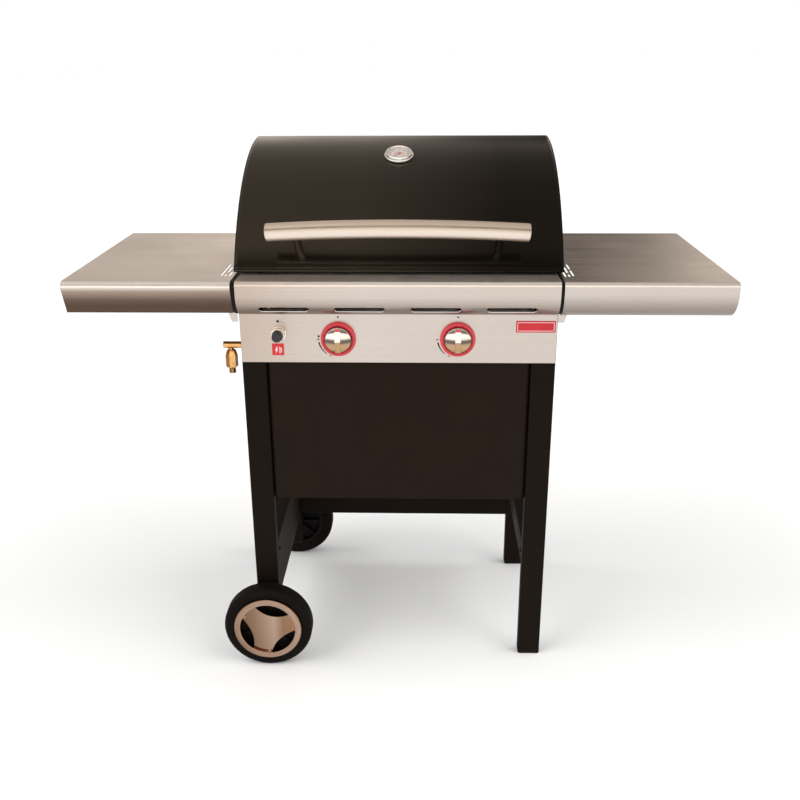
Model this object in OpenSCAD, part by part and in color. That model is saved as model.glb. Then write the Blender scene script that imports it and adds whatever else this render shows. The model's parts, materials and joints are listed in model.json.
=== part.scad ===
// Two-burner gas barbecue grill on a trolley, millimetres, +Z up.
// Origin on the floor, under the middle of the whole object. The front faces -Y.

/* [Overall] */
// Width across both side shelves
overall_w = 1220; // [1190:5:1250]
// Height of the shelf tops above the floor
shelf_z = 812; // [800:1:830]
// Width across the legs and the control panel
body_w = 590; // [585:1:592]
// Distance from the middle plane to the front of the control panel face
face_y = 201; // [200:1:202]

/* [Legs and frame] */
// Width of a leg tube, across the grill
leg_w = 45; // [40:1:46]
// Depth of a leg tube, front to back
leg_d = 23; // [20:1:24]
// Wall of the leg tubes and rails
leg_wall = 1.5; // [1:0.1:2]
// Front surface of the front legs, ahead of the middle plane
leg_front = 197.5; // [196:0.5:198]
// Back surface of the rear legs, behind the middle plane
leg_rear = 189.5; // [188:0.5:192]
// Height of the lower edge of the front apron
apron_bottom = 363; // [340:1:400]

/* [Side shelves] */
// Inner edge of the left shelf, from the middle plane
shelf_in_left = 302; // [300:0.5:303]
// Inner edge of the right shelf, from the middle plane
shelf_in_right = 299.5; // [299.5:0.5:302]
// Back edge of the shelves, behind the middle plane
shelf_rear = 229; // [210:1:232]
// Height of the rounded front lip of the right shelf and the panel
lip_h = 71; // [68:1:74]
// Height of the left shelf's flat front, which leans back
left_lip_h = 62; // [58:1:66]

/* [Lid] */
// Width of the lid over its end plates
lid_w = 610; // [606:1:611]
// Radius of the lid's front curve
lid_r = 407; // [405:1:408]
// Height of the lid's lower edge
lid_z = 817; // [816:1:819]
// Height of the hinge line
pivot_z = 838; // [838:1:839]

/* [Handle] */
// Diameter of the handle tube
handle_d = 33; // [30:1:34]
// Length of the handle tube, end to end
handle_l = 466; // [440:2:470]
// Distance of each post from the middle plane
post_x = 185; // [160:1:190]
// Reach of the tube's middle from the lid surface
handle_reach = 82; // [78:1:90]

/* [Controls] */
// Distance of each knob from the middle plane
knob_x = 111; // [105:1:115]
// Height of the knob centres
knob_z = 698; // [695:1:700]
// Diameter of a knob
knob_d = 49; // [46:1:49]
// Outer diameter of a knob's red bezel
bezel_d = 66; // [64:1:68]
// Push-in travel of a knob
knob_travel = 4; // [3:0.5:4]
// Diameter of the igniter's button
button_d = 18.4; // [16:0.2:18.4]

/* [Wheels] */
// Diameter of a wheel over its tyre
wheel_d = 180; // [178:1:182]
// Width of a tyre
tyre_w = 36; // [34:1:37]
// Distance of the axle from the middle plane, to the left
axle_x = 269; // [266:1:272]
// Distance of each wheel's middle from the middle plane, front to back
wheel_y = 229; // [228:1:231]
// Diameter of the axle
axle_d = 10; // [8:1:10]

/* [Gas inlet] */
// Diameter of the brass manifold pipe
pipe_d = 13; // [12:0.5:14]
// Diameter of the inlet stub that a hose screws on
stub_d = 13; // [12:0.5:13.5]
// Length of the inlet stub
stub_l = 10; // [8:1:12]

/* [Hidden] */
$fn = 48;
eps = 0.01;

// sheet thicknesses
sheet = 1.5;
thin = 1.2;
lid_t = 2;

// colours
STEEL = [0.79, 0.76, 0.72];
BLACK = [0.12, 0.1, 0.09];
ENAMEL = [0.16, 0.14, 0.13];
IRON = [0.2, 0.2, 0.2];
CHROME = [0.88, 0.88, 0.88];
RED = [0.78, 0.16, 0.18];
BRASS = [0.82, 0.62, 0.32];
RUBBER = [0.08, 0.07, 0.07];
CERAMIC = [0.92, 0.9, 0.86];
GLASS = [0.8, 0.88, 0.9, 0.4];

// legs
leg_out = body_w / 2;
leg_in = leg_out - leg_w;
leg_top = shelf_z - 12;
cap_h = 10;
left_leg_bottom = 62;
apron_half = leg_in - 0.4;
plug_clear = 0.2;
plug_l = 18;

// lip shared by the right shelf and the control panel; the left shelf leans
lip_reach = 30;
lip_y = -face_y - lip_reach;
corner_r = 8;
lip_r = 49;
lip_cy = lip_y + lip_r;
lip_cz = shelf_z - lip_h + lip_r;
lean_corner_r = 12;
lean_run = 18;
panel_back = -141;
panel_bottom = shelf_z - 161;
panel_half = body_w / 2 - 1.2;
vent_h = 10;
vent_z = shelf_z - 54;

// firebox
box_half = 248.5;
box_front = -136;
box_rear = 190;
box_wall = 2;
box_floor = shelf_z - 157;
rim_z = shelf_z - 4;
rim_half = 298.5;
rim_rear = 198;
ledge_z = shelf_z - 28;
ledge_w = 10;
bar_h = 14;
drain_half = 90;
drain_front = -70;
drain_rear = 120;

// lid
lid_half = lid_w / 2;
lid_cy = 185.2;
lid_cz = 620.6;
skirt_y = -172;
back_r = 60;
back_cz = lid_cz + lid_r - back_r;
pivot_y = lid_cy + back_r - 20;
pivot_r = 20;
pin_d = 8;
pin_clear = 0.05;

// handle, on the lid's normal at this angle above the horizontal
handle_tilt = 35.5;
handle_base_y = lid_cy - lid_r * cos(handle_tilt);
handle_base_z = lid_cz + lid_r * sin(handle_tilt);
bow = 15;
bow_r = (pow(handle_l / 2, 2) + pow(bow, 2)) / (2 * bow);
bow_angle = 2 * asin(handle_l / 2 / bow_r);
post_drop = bow_r - sqrt(pow(bow_r, 2) - pow(post_x, 2));
post_d = 15;
tube_wall = 1.2;
post_end = handle_reach - post_drop - handle_d / 2 + 3;

// thermometer, on the lid's normal at this angle from the vertical
dial_x = -3;
dial_tilt = 21;
dial_y = lid_cy - lid_r * sin(dial_tilt);
dial_z = lid_cz + lid_r * cos(dial_tilt);
dial_d = 58;

// controls
stem_d = 6;
stem_clear = 0.05;
valve_y = -188;
bezel_h = 8;
knob_skirt = 7;
knob_gap = knob_travel + 1;
igniter_x = -222;
igniter_z = shelf_z - 104;
barrel_d = 22;
button_clear = 0.3;
button_out = 31;

// gas line
pipe_y = -165;
pipe_z = shelf_z - 138;
pipe_left = -335;
pipe_right = 132;
inlet_x = -321;
hex_turn = 19;

// wheels
axle_z = wheel_d / 2;
rim_r = 66;
cap_r = 69.4;
cap_in_r = 56.5;
hub_in = 29;
hub_out = 12;
wheel_clear = 0.05;

// burners
burner_d = 25;
burner_z = knob_z + 2;

// ---------- helpers ----------

// extrudes a (Y, Z) outline along X, from x0 to x1
module along_x(x0, x1) {
  translate([x0, 0, 0])
    rotate([90, 0, 90])
      linear_extrude(height = x1 - x0) children();
}

// extrudes an (X, Z) outline along Y, from y0 to y1
module along_y(y0, y1) {
  translate([0, y1, 0])
    rotate([90, 0, 0])
      linear_extrude(height = y1 - y0) children();
}

// round bar or hole along X, between x0 and x1
module rod_x(x0, x1, y, z, d) {
  translate([x0, y, z]) rotate([0, 90, 0]) cylinder(h = x1 - x0, d = d);
}

// round bar or hole along Y, between y0 and y1
module rod_y(y0, y1, x, z, d) {
  translate([x, y0, z]) rotate([-90, 0, 0]) cylinder(h = y1 - y0, d = d);
}

// box between two corners
module block(low, high) {
  translate(low) cube(high - low);
}

// copies to the left and the right
module both_sides() {
  children();
  mirror([1, 0, 0]) children();
}

// slot with round ends, cut straight down, running along Y
module slot_y(x, y0, y1, z0, z1, w) {
  translate([x, y0 + w / 2, z0]) cylinder(h = z1 - z0, d = w, $fn = 24);
  translate([x, y1 - w / 2, z0]) cylinder(h = z1 - z0, d = w, $fn = 24);
  block([x - w / 2, y0 + w / 2, z0], [x + w / 2, y1 - w / 2, z1]);
}

// ---------- frame ----------

// places of the frame screws: [x, y, z, direction of the head along X]
RAIL_SCREWS = [for (y = [-150, 142], s = [-1, 1]) [s * 254, y, 222, s]];
APRON_SCREWS = [for (z = [420, 600], s = [-1, 1]) [s * leg_in, -179.5, z, s]];
screw_d = 4;
screw_head = 8;
screw_head_h = 2.5;
rail_web = 252.5;

module screw_holes() {
  for (p = concat(RAIL_SCREWS, APRON_SCREWS))
    rod_x(p[0] - 12, p[0] + 12, p[1], p[2], screw_d);
}

module leg_tube(x0, y0, z0) {
  difference() {
    block([x0, y0, z0], [x0 + leg_w, y0 + leg_d, leg_top]);
    block([x0 + leg_wall, y0 + leg_wall, z0 - 1],
      [x0 + leg_w - leg_wall, y0 + leg_d - leg_wall, leg_top + 1]);
    screw_holes();
    if (x0 < 0)
      rod_y(y0 - 1, y0 + leg_d + 1, -axle_x, axle_z, axle_d);
  }
}

module leg_front_left() { color(BLACK) leg_tube(-leg_out, -leg_front, left_leg_bottom); }
module leg_front_right() { color(BLACK) leg_tube(leg_in, -leg_front, cap_h); }
module leg_rear_left() { color(BLACK) leg_tube(-leg_out, leg_rear - leg_d, left_leg_bottom); }
module leg_rear_right() { color(BLACK) leg_tube(leg_in, leg_rear - leg_d, cap_h); }

// plastic cap pushed into the end of a leg tube, with a chamfered sole
module leg_cap(x0, y0, z0) {
  inset = leg_wall + plug_clear;
  chamfer = 3;
  along_y(y0, y0 + leg_d)
    polygon([[x0 + chamfer, z0], [x0 + leg_w - chamfer, z0], [x0 + leg_w, z0 + chamfer],
      [x0 + leg_w, z0 + cap_h], [x0, z0 + cap_h], [x0, z0 + chamfer]]);
  block([x0 + inset, y0 + inset, z0 + cap_h - eps],
    [x0 + leg_w - inset, y0 + leg_d - inset, z0 + cap_h + plug_l - 4]);
}

module leg_caps() {
  color(BLACK)
    for (y = [-leg_front, leg_rear - leg_d]) {
      leg_cap(leg_in, y, 0);
      leg_cap(-leg_out, y, left_leg_bottom - cap_h);
    }
}

// channel between a front and a rear leg, with its web towards the middle
module side_rail(side, z0, z1) {
  web = rail_web;
  depth = 30;
  y0 = -leg_front + leg_d;
  y1 = leg_rear - leg_d;
  color(BLACK)
    difference() {
      along_y(y0, y1)
        difference() {
          polygon([[side * web, z0], [side * (web + depth), z0], [side * (web + depth), z1],
            [side * web, z1]]);
          polygon([[side * (web + sheet), z0 + sheet], [side * (web + depth + 1), z0 + sheet],
            [side * (web + depth + 1), z1 - sheet], [side * (web + sheet), z1 - sheet]]);
        }
      screw_holes();
    }
}

module side_rail_left() { side_rail(-1, 126, 248); }
module side_rail_right() { side_rail(1, 200, 248); }

module rear_crossbar() {
  bar_z0 = 138;
  bar_z1 = 190;
  y0 = leg_rear - leg_d;
  color(BLACK)
    difference() {
      block([-leg_in, y0, bar_z0], [leg_in, leg_rear, bar_z1]);
      block([-leg_in - 1, y0 + leg_wall, bar_z0 + leg_wall],
        [leg_in + 1, leg_rear - leg_wall, bar_z1 - leg_wall]);
    }
}

// sheet apron between the front legs, its side edges bent back on a round
module apron_outline(inset) {
  half = apron_half - inset;
  front = -195 + inset;
  back = -168;
  bend = 11 - inset;
  translate([-half + bend, front]) square([2 * (half - bend), bend + eps]);
  translate([-half, front + bend]) square([2 * half, back - front - bend + (inset > 0 ? 1 : 0)]);
  for (x = [-half + bend, half - bend])
    translate([x, front + bend]) circle(r = bend);
}

module front_apron() {
  color(BLACK)
    difference() {
      translate([0, 0, apron_bottom])
        linear_extrude(height = panel_bottom - 1 - apron_bottom)
          difference() {
            apron_outline(0);
            apron_outline(thin);
          }
      screw_holes();
    }
}

// pan-head screw along X: head from one face towards the tip of its shank
module pan_screw(head_x, head_end, tip_x, p) {
  rod_x(min(head_end, tip_x), max(head_end, tip_x), p[1], p[2], screw_d - 0.1);
  rod_x(min(head_x, head_end), max(head_x, head_end), p[1], p[2], screw_head);
}

// pan-head screws that hold the rails and the apron, heads inside
module frame_screws() {
  color(BLACK) {
    for (p = RAIL_SCREWS) {
      face = p[3] * (rail_web - 0.1);
      pan_screw(face - screw_head_h * p[3], face, p[0] + 4 * p[3], p);
    }
    for (p = APRON_SCREWS) {
      inner = p[3] * (apron_half - thin - 0.1);
      pan_screw(inner - screw_head_h * p[3], inner, p[3] * (leg_in + 6), p);
    }
  }
}

// ---------- wheels ----------

// side is -1 at the front and 1 at the back; children are drawn with +Z outwards
module wheel_place(side) {
  translate([-axle_x, side * wheel_y, axle_z])
    rotate([side < 0 ? 90 : -90, 0, 0]) children();
}

module tyre() {
  half = tyre_w / 2;
  shoulder = 6;
  color(RUBBER)
    rotate_extrude($fn = 96)
      difference() {
        union() {
          translate([rim_r, -half]) square([axle_z - rim_r - shoulder, tyre_w]);
          translate([rim_r, -half + shoulder]) square([axle_z - rim_r, tyre_w - 2 * shoulder]);
          for (s = [-1, 1])
            translate([axle_z - shoulder, s * (half - shoulder)]) circle(r = shoulder, $fn = 32);
        }
        for (u = [-6, 0, 6])
          translate([axle_z - 1.5, u - 1]) square([3, 2]);
      }
}

module wheel_rim() {
  web = 3;
  color(BLACK)
    rotate_extrude($fn = 96)
      difference() {
        union() {
          translate([axle_d / 2 + wheel_clear, -hub_in]) square([9, hub_in + hub_out]);
          translate([axle_d / 2 + wheel_clear, -web]) square([rim_r - 6, 2 * web]);
          translate([rim_r - 8, -16]) square([8, 32]);
        }
        translate([rim_r, -20]) square([6, 40]);
      }
}

// bright trim: a raised ring, and a shallow three-armed dome set back inside it
module hub_cap() {
  base = 18.3;
  top = 22.2;
  edge_r = 1.9;
  wall = 1.4;
  dome_r = 230;
  dome_top = 25;
  skin = 2;
  opening_r = 69;
  opening_x = 102;
  color(CHROME)
    difference() {
      rotate_extrude($fn = 96) {
        translate([cap_in_r, base]) square([cap_r - cap_in_r - edge_r, top - base]);
        translate([cap_in_r, base]) square([cap_r - cap_in_r, 2]);
        translate([cap_r - edge_r, top - edge_r]) circle(r = edge_r, $fn = 24);
        translate([cap_in_r, 15.6]) square([wall, 3]);
        translate([58.5, 16]) square([2.5, 3]);
        intersection() {
          translate([0, 14]) square([cap_in_r + eps, 12]);
          difference() {
            translate([0, dome_top - dome_r]) circle(r = dome_r, $fn = 360);
            translate([0, dome_top - dome_r]) circle(r = dome_r - skin, $fn = 360);
          }
        }
      }
      for (a = [76, 196, 316])
        rotate([0, 0, a])
          intersection() {
            translate([0, 0, 14]) cylinder(h = 18, r = cap_in_r + 0.3, $fn = 96);
            translate([opening_x, 0, 14]) cylinder(h = 18, r = opening_r, $fn = 180);
          }
    }
}

module wheel_axle() {
  end = 20;
  color(CHROME) rod_y(-wheel_y - end, wheel_y + end, -axle_x, axle_z, axle_d);
}

module axle_nuts() {
  color(CHROME)
    for (s = [-1, 1])
      wheel_place(s)
        translate([0, 0, hub_out + 0.4])
          difference() {
            cylinder(h = 6, d = 19.6, $fn = 6);
            translate([0, 0, -1]) cylinder(h = 8, d = axle_d);
          }
}

// thrust washers between each hub and its leg; the rear one is longer
module axle_washers() {
  color(CHROME)
    for (w = [[-1, wheel_y - leg_front], [1, wheel_y - leg_rear]])
      wheel_place(w[0])
        translate([0, 0, -w[1]])
          difference() {
            cylinder(h = w[1] - hub_in - 0.4, d = 20);
            translate([0, 0, -1]) cylinder(h = w[1], d = axle_d);
          }
}

module tyre_front() { wheel_place(-1) tyre(); }
module tyre_rear() { wheel_place(1) tyre(); }
module rim_front() { wheel_place(-1) wheel_rim(); }
module rim_rear() { wheel_place(1) wheel_rim(); }
module hub_cap_front() { wheel_place(-1) hub_cap(); }
module hub_cap_rear() { wheel_place(1) hub_cap(); }

// ---------- firebox and what it holds ----------

module firebox() {
  hole_d = 30;
  color(ENAMEL)
    difference() {
      union() {
        block([-box_half, box_front, box_floor], [box_half, box_rear, rim_z]);
        block([-rim_half, -140, rim_z - box_wall], [rim_half, rim_rear, rim_z]);
      }
      difference() {
        block([-box_half + box_wall, box_front + box_wall, box_floor + box_wall],
          [box_half - box_wall, box_rear - box_wall, rim_z + 1]);
        for (y = [[box_front, box_front + ledge_w], [box_rear - ledge_w, box_rear]])
          block([-box_half, y[0], ledge_z - box_wall], [box_half, y[1], ledge_z]);
      }
      block([-drain_half, drain_front, box_floor - 1], [drain_half, drain_rear, box_floor + 5]);
      both_sides() {
        rod_y(box_front - 1, box_front + box_wall + 1, knob_x, burner_z, hole_d);
        rod_y(box_front - 1, box_front + box_wall + 1, knob_x + 30, burner_z + 14, 6.4);
      }
      for (x = [-200 : 40 : 200])
        rod_y(box_rear - box_wall - 1, box_rear + 1, x, box_floor + 20, 12);
    }
}

// channels under the firebox that the drip tray slides in
module tray_rails() {
  tray_half = 121;
  color(ENAMEL)
    both_sides()
      along_y(-120, 160)
        polygon([[tray_half, box_floor], [tray_half + 12, box_floor],
          [tray_half + 12, box_floor - 12], [tray_half - 8, box_floor - 12],
          [tray_half - 8, box_floor - 10.5], [tray_half + 10.5, box_floor - 10.5],
          [tray_half + 10.5, box_floor - sheet], [tray_half, box_floor - sheet]]);
}

module drip_tray() {
  half = 111;
  flange_half = 128;
  y0 = -112;
  y1 = 158;
  top = box_floor - 6;
  depth = 26;
  color(STEEL) {
    difference() {
      union() {
        block([-half, y0, top - depth], [half, y1, top]);
        block([-flange_half, y0, top - 2], [flange_half, y1, top]);
      }
      block([-half + thin, y0 + thin, top - depth + thin], [half - thin, y1 - thin, top + 1]);
    }
    block([-50, y1 - eps, top - 18], [50, y1 + 14, top - 16]);
    block([-50, y1 + 12, top - 26], [50, y1 + 14, top - 16]);
  }
}

// one tube burner along Y with two rows of ports
module burner(x) {
  y0 = -150;
  y1 = 176;
  difference() {
    union() {
      rod_y(y0, y1, x, burner_z, burner_d);
      block([x - 3, y1 - eps, burner_z - 6], [x + 3, box_rear - box_wall, burner_z + 6]);
    }
    rod_y(y0 - 1, y1 - 3, x, burner_z, burner_d - 2);
    for (y = [-100 : 24 : 160])
      translate([x, y, burner_z])
        rotate([0, 90, 0]) cylinder(h = burner_d + 4, d = 3, center = true, $fn = 16);
    block([x - burner_d, -146, burner_z + 6], [x + burner_d, -139, burner_z + 20]);
  }
}

module burners() {
  color(STEEL)
    for (s = [-1, 1])
      burner(s * knob_x);
}

// folded roof over each burner, standing on the firebox floor by four feet
module heat_plates() {
  half = 60;
  low = burner_z + 18;
  rise = 28;
  t = thin;
  color(STEEL)
    for (s = [-1, 1])
      translate([s * knob_x, 0, 0]) {
        along_y(-118, 170)
          polygon([[-half, low], [-half, low + t], [0, low + rise + t], [half, low + t],
            [half, low], [0, low + rise]]);
        for (fx = [-half, half - 3], fy = [-112, 150])
          block([fx, fy, box_floor + box_wall], [fx + 3, fy + 14, low + 0.6]);
      }
}

module electrodes() {
  color(CERAMIC)
    both_sides() {
      rod_y(-150, -96, knob_x + 30, burner_z + 14, 6);
      rod_y(-96 - eps, -86, knob_x + 30, burner_z + 14, 2);
    }
}

// cast grate: frame, bars along Y and two cross ribs
module grate(x0, x1) {
  y0 = box_front + box_wall + 0.8;
  y1 = box_rear - box_wall - 0.8;
  frame = 9;
  bar_w = 7;
  count = 13;
  pitch = (x1 - x0 - frame) / (count + 1);
  color(IRON)
    difference() {
      block([x0, y0, ledge_z], [x1, y1, ledge_z + bar_h]);
      for (i = [0 : count]) {
        gap0 = i == 0 ? x0 + frame : x0 + frame / 2 + i * pitch + bar_w / 2;
        gap1 = i == count ? x1 - frame : x0 + frame / 2 + (i + 1) * pitch - bar_w / 2;
        block([gap0, y0 + frame, ledge_z - 1], [gap1, y1 - frame, ledge_z + bar_h + 1]);
      }
    }
}

module grate_left() {
  grate(-box_half + box_wall + 0.8, -0.8);
  color(IRON)
    for (y = [-30, 84])
      block([-240, y, ledge_z - 4], [-8, y + 6, ledge_z + eps]);
}

module grate_right() {
  mirror([1, 0, 0]) grate_left();
}

// wire rack above the grates, on four wire legs that stand on the firebox rim
module warming_rack() {
  half = 262;
  z = 905;
  y0 = 70;
  y1 = 176;
  wire = 4;
  color(CHROME) {
    for (y = [y0, y1]) rod_x(-half, half, y, z, 5);
    for (i = [-20 : 20]) rod_y(y0, y1, i * 12.6, z + 3, wire - 1);
    for (x = [-half, half], y = [y0, y1]) {
      translate([x, y, rim_z]) cylinder(h = z - rim_z + 2.5, d = 5);
    }
  }
}

module bracket_outline() {
  translate([pivot_y, pivot_z]) circle(r = 12);
  polygon([[150, rim_z], [196, rim_z], [pivot_y + 7.7, pivot_z - 9.2],
    [pivot_y - 6, pivot_z + 10.4], [150, rim_z + 14]]);
}

// hinge brackets that stand on the rear corners of the firebox rim
module hinge_brackets() {
  color(BLACK)
    both_sides()
      difference() {
        union() {
          along_x(296, 299) bracket_outline();
          block([284, 152, rim_z], [297, 194, rim_z + 2]);
        }
        rod_x(290, 300, pivot_y, pivot_z, pin_d);
      }
}

module hinge_pins() {
  color(CHROME)
    both_sides() {
      rod_x(292, lid_half + 0.5, pivot_y, pivot_z, pin_d);
      rod_x(lid_half + 0.4, lid_half + 3.4, pivot_y, pivot_z, 13);
    }
}

// ---------- lid ----------

// side outline of the lid, shrunk by inset, in (Y, Z); a shrunk one reaches lower
module lid_outline(inset) {
  low = lid_z - inset;
  intersection() {
    translate([lid_cy, lid_cz]) circle(r = lid_r - inset, $fn = 180);
    translate([skirt_y + inset, low]) square([lid_cy - skirt_y - inset, lid_r]);
  }
  translate([lid_cy - eps, low]) square([back_r - inset + eps, back_cz - low]);
  intersection() {
    translate([lid_cy, back_cz]) circle(r = back_r - inset, $fn = 96);
    translate([lid_cy - eps, back_cz - eps]) square([back_r + eps, back_r + eps]);
  }
}

module lid_shell() {
  half = lid_half - lid_t;
  color(ENAMEL)
    difference() {
      along_x(-half, half)
        difference() {
          lid_outline(0);
          lid_outline(lid_t);
          translate([lid_cy - 1, lid_z - 1]) square([back_r + 4, pivot_z - lid_z + 1]);
        }
      thermometer_place() translate([0, 0, -6]) cylinder(h = 10, d = 12);
      post_places(-8, 8, screw_d + 1);
    }
}

module lid_end(x0) {
  color(ENAMEL)
    difference() {
      along_x(x0, x0 + lid_t) {
        difference() {
          lid_outline(0);
          translate([pivot_y, lid_z - 1]) square([40, pivot_z - lid_z + 1]);
        }
        translate([pivot_y, pivot_z]) circle(r = pivot_r);
      }
      rod_x(x0 - 1, x0 + lid_t + 1, pivot_y, pivot_z, pin_d + 2 * pin_clear);
    }
}

module lid_end_left() { lid_end(-lid_half); }
module lid_end_right() { lid_end(lid_half - lid_t); }

// children are drawn with +X along the lid's normal and +Y to the right
module handle_place() {
  translate([0, handle_base_y, handle_base_z])
    rotate([-handle_tilt, 0, 0])
      rotate([0, 0, -90]) children();
}

// bars of one diameter on both post axes, between two distances from the lid
module post_places(s0, s1, d) {
  handle_place()
    for (y = [-post_x, post_x])
      translate([s0, y, 0]) rotate([0, 90, 0]) cylinder(h = s1 - s0, d = d);
}

module handle_arc(d) {
  translate([handle_reach - bow_r, 0, 0])
    rotate([0, 0, -bow_angle / 2])
      rotate_extrude(angle = bow_angle, $fn = 720)
        translate([bow_r, 0]) circle(d = d, $fn = 48);
}

module handle_tube() {
  color(STEEL)
    difference() {
      handle_place()
        difference() {
          handle_arc(handle_d);
          handle_arc(handle_d - 2 * tube_wall);
        }
      post_places(0, post_end + 2, post_d);
    }
}

module handle_end_caps() {
  color(STEEL)
    handle_place()
      translate([handle_reach - bow_r, 0, 0])
        for (s = [-1, 1])
          rotate([0, 0, s * bow_angle / 2])
            translate([bow_r, 0, 0])
              rotate([-s * 90, 0, 0]) {
                cylinder(h = 2, d = handle_d);
                translate([0, 0, -10]) cylinder(h = 10 + eps, d = handle_d - 2 * tube_wall - 0.6);
              }
}

module handle_posts() {
  color(CHROME)
    difference() {
      post_places(0.4, post_end, post_d);
      post_places(-1, 14, screw_d);
    }
}

module handle_screws() {
  color(CHROME) {
    post_places(-lid_t - 2.9, -lid_t - 0.4, 9);
    post_places(-lid_t - 0.5, 12, screw_d - 0.1);
  }
}

module thermometer_place() {
  translate([dial_x, dial_y, dial_z]) rotate([dial_tilt, 0, 0]) children();
}

// case with a stepped bezel, a stem through the lid and a nut inside
module thermometer_case() {
  r = dial_d / 2;
  color(CHROME)
    thermometer_place() {
      rotate_extrude($fn = 96)
        polygon([[0, 0.1], [r - 0.8, 0.1], [r, 0.9], [r, 4.8], [r - 1, 6.2], [r - 2.4, 6.8],
          [r - 2.4, 8.6], [r - 3, 10.6], [r - 4.6, 12], [r - 6.4, 12], [r - 7, 11.2],
          [r - 7, 5], [0, 5]]);
      translate([0, 0, -40]) cylinder(h = 40.2, d = 6);
      translate([0, 0, -lid_t - 6.4]) cylinder(h = 6, d = 17.3, $fn = 6);
    }
}

module thermometer_dial() {
  color(STEEL) thermometer_place() translate([0, 0, 5]) cylinder(h = 0.6, r = dial_d / 2 - 7.2);
}

// pointer on its hub, resting at the cold end of the scale
module thermometer_needle() {
  rest_turn = 135;
  color(BLACK)
    thermometer_place()
      translate([0, 0, 6.6])
        rotate([0, 0, rest_turn]) {
          cylinder(h = 1.2, d = 5);
          linear_extrude(height = 0.8)
            polygon([[-1.6, -6], [1.6, -6], [0.5, 17], [-0.5, 17]]);
        }
}

module thermometer_glass() {
  color(GLASS)
    thermometer_place() translate([0, 0, 9.2]) cylinder(h = 1.4, r = dial_d / 2 - 7.1);
}

// ---------- control panel ----------

// rounded front lip, shrunk by inset, in (Y, Z)
module lip_outline(inset) {
  front = lip_y + inset;
  top = shelf_z - inset;
  r = corner_r - inset;
  translate([front + r, lip_cz]) square([lip_cy - front - r, top - lip_cz]);
  translate([front, lip_cz]) square([lip_cy - front, top - lip_cz - r]);
  translate([front + r, top - r]) circle(r = r);
  intersection() {
    translate([lip_cy, lip_cz]) circle(r = lip_r - inset, $fn = 96);
    translate([lip_cy - lip_r, lip_cz - lip_r]) square([lip_r, lip_r]);
  }
}

module panel_outline(inset) {
  spill = inset > 0 ? 2 : 0;
  lip_outline(inset);
  translate([lip_cy, panel_bottom - spill])
    square([panel_back - lip_cy + spill, shelf_z - panel_bottom - inset + spill]);
  translate([-face_y + inset, panel_bottom - spill])
    square([face_y + lip_cy - inset, lip_cz - panel_bottom + spill]);
}

VENTS = [[-254, -162], [-116, -23.5], [23.5, 116], [162, 254]];

// round-ended slot through the lip, between two places along X
module vent_slot(x0, x1) {
  y0 = lip_y - 1;
  y1 = -face_y - 2;
  r = vent_h / 2;
  for (x = [x0 + r, x1 - r])
    rod_y(y0, y1, x, vent_z, vent_h);
  block([x0 + r, y0, vent_z - r], [x1 - r, y1, vent_z + r]);
}

// sheet folded inwards and up from the lower edge of a slot
module vent_flange(x0, x1) {
  low = vent_z - vent_h / 2;
  along_x(x0 + 4, x1 - 4)
    polygon([[-212.2, low - 1.4], [-203.5, low + 1.8], [-204, low + 3.1], [-212.9, low - 0.1]]);
}

// inner end plate, just inside a leg, between the face and the firebox
module panel_end() {
  x1 = leg_in - 0.5;
  block([x1 - thin, -face_y + sheet - eps, panel_bottom], [x1, panel_back, shelf_z - sheet + eps]);
}

module control_panel() {
  color(STEEL)
    difference() {
      union() {
        difference() {
          along_x(-panel_half, panel_half)
            difference() {
              panel_outline(0);
              panel_outline(sheet);
            }
          for (v = VENTS) vent_slot(v[0], v[1]);
        }
        for (v = VENTS) vent_flange(v[0], v[1]);
        block([-leg_in + 4, -face_y + sheet - eps, panel_bottom],
          [leg_in - 4, -face_y + 14, panel_bottom + sheet]);
        both_sides() panel_end();
      }
      both_sides() rod_y(-face_y - 1, -face_y + 3, knob_x, knob_z, 17);
      rod_y(-face_y - 1, -face_y + 3, igniter_x, igniter_z, barrel_d);
      rod_x(-leg_in, -leg_in + 3, pipe_y, pipe_z, pipe_d + 1);
    }
}

// dark strip that closes the gap between the panel and a shelf, on the right-hand side
module panel_seal(shelf_in) {
  band = 7;
  along_x(leg_out + 0.2, shelf_in - 0.6)
    difference() {
      union() {
        lip_outline(1);
        translate([lip_cy - 2 * eps, lip_cz]) square([panel_back - lip_cy, shelf_z - 1 - lip_cz]);
      }
      lip_outline(band);
      translate([lip_cy - 3 * eps, lip_cz - lip_r])
        square([panel_back - lip_cy + 1, shelf_z - band - lip_cz + lip_r]);
    }
}

module panel_seals() {
  color(RUBBER) {
    panel_seal(shelf_in_right);
    mirror([1, 0, 0]) panel_seal(shelf_in_left);
  }
}

module badge_plate() {
  low = [218, 711];
  high = [291, 733];
  plate_t = 1;
  color(RED)
    along_y(-face_y - 0.1 - plate_t, -face_y - 0.1)
      translate(low) square(high - low);
}

module igniter_label() {
  low = [-236, 665];
  high = [-213.6, 688];
  label_t = 0.4;
  color(RED)
    along_y(-face_y - 0.1 - label_t, -face_y - 0.1)
      translate(low) square(high - low);
}

// red ring round each knob, with a recessed floor
module knob_bezels() {
  r = bezel_d / 2;
  in_r = knob_d / 2 + 1;
  round_r = 3.5;
  color(RED)
    both_sides()
      translate([knob_x, -face_y - 0.1, knob_z])
        rotate([90, 0, 0])
          rotate_extrude($fn = 96) {
            translate([9, 0]) square([in_r - 9 + eps, 1.2]);
            translate([in_r, 0]) square([r - in_r, bezel_h - round_r]);
            translate([in_r, 0]) square([r - in_r - round_r, bezel_h]);
            translate([r - round_r, bezel_h - round_r]) circle(r = round_r, $fn = 32);
          }
}

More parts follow.
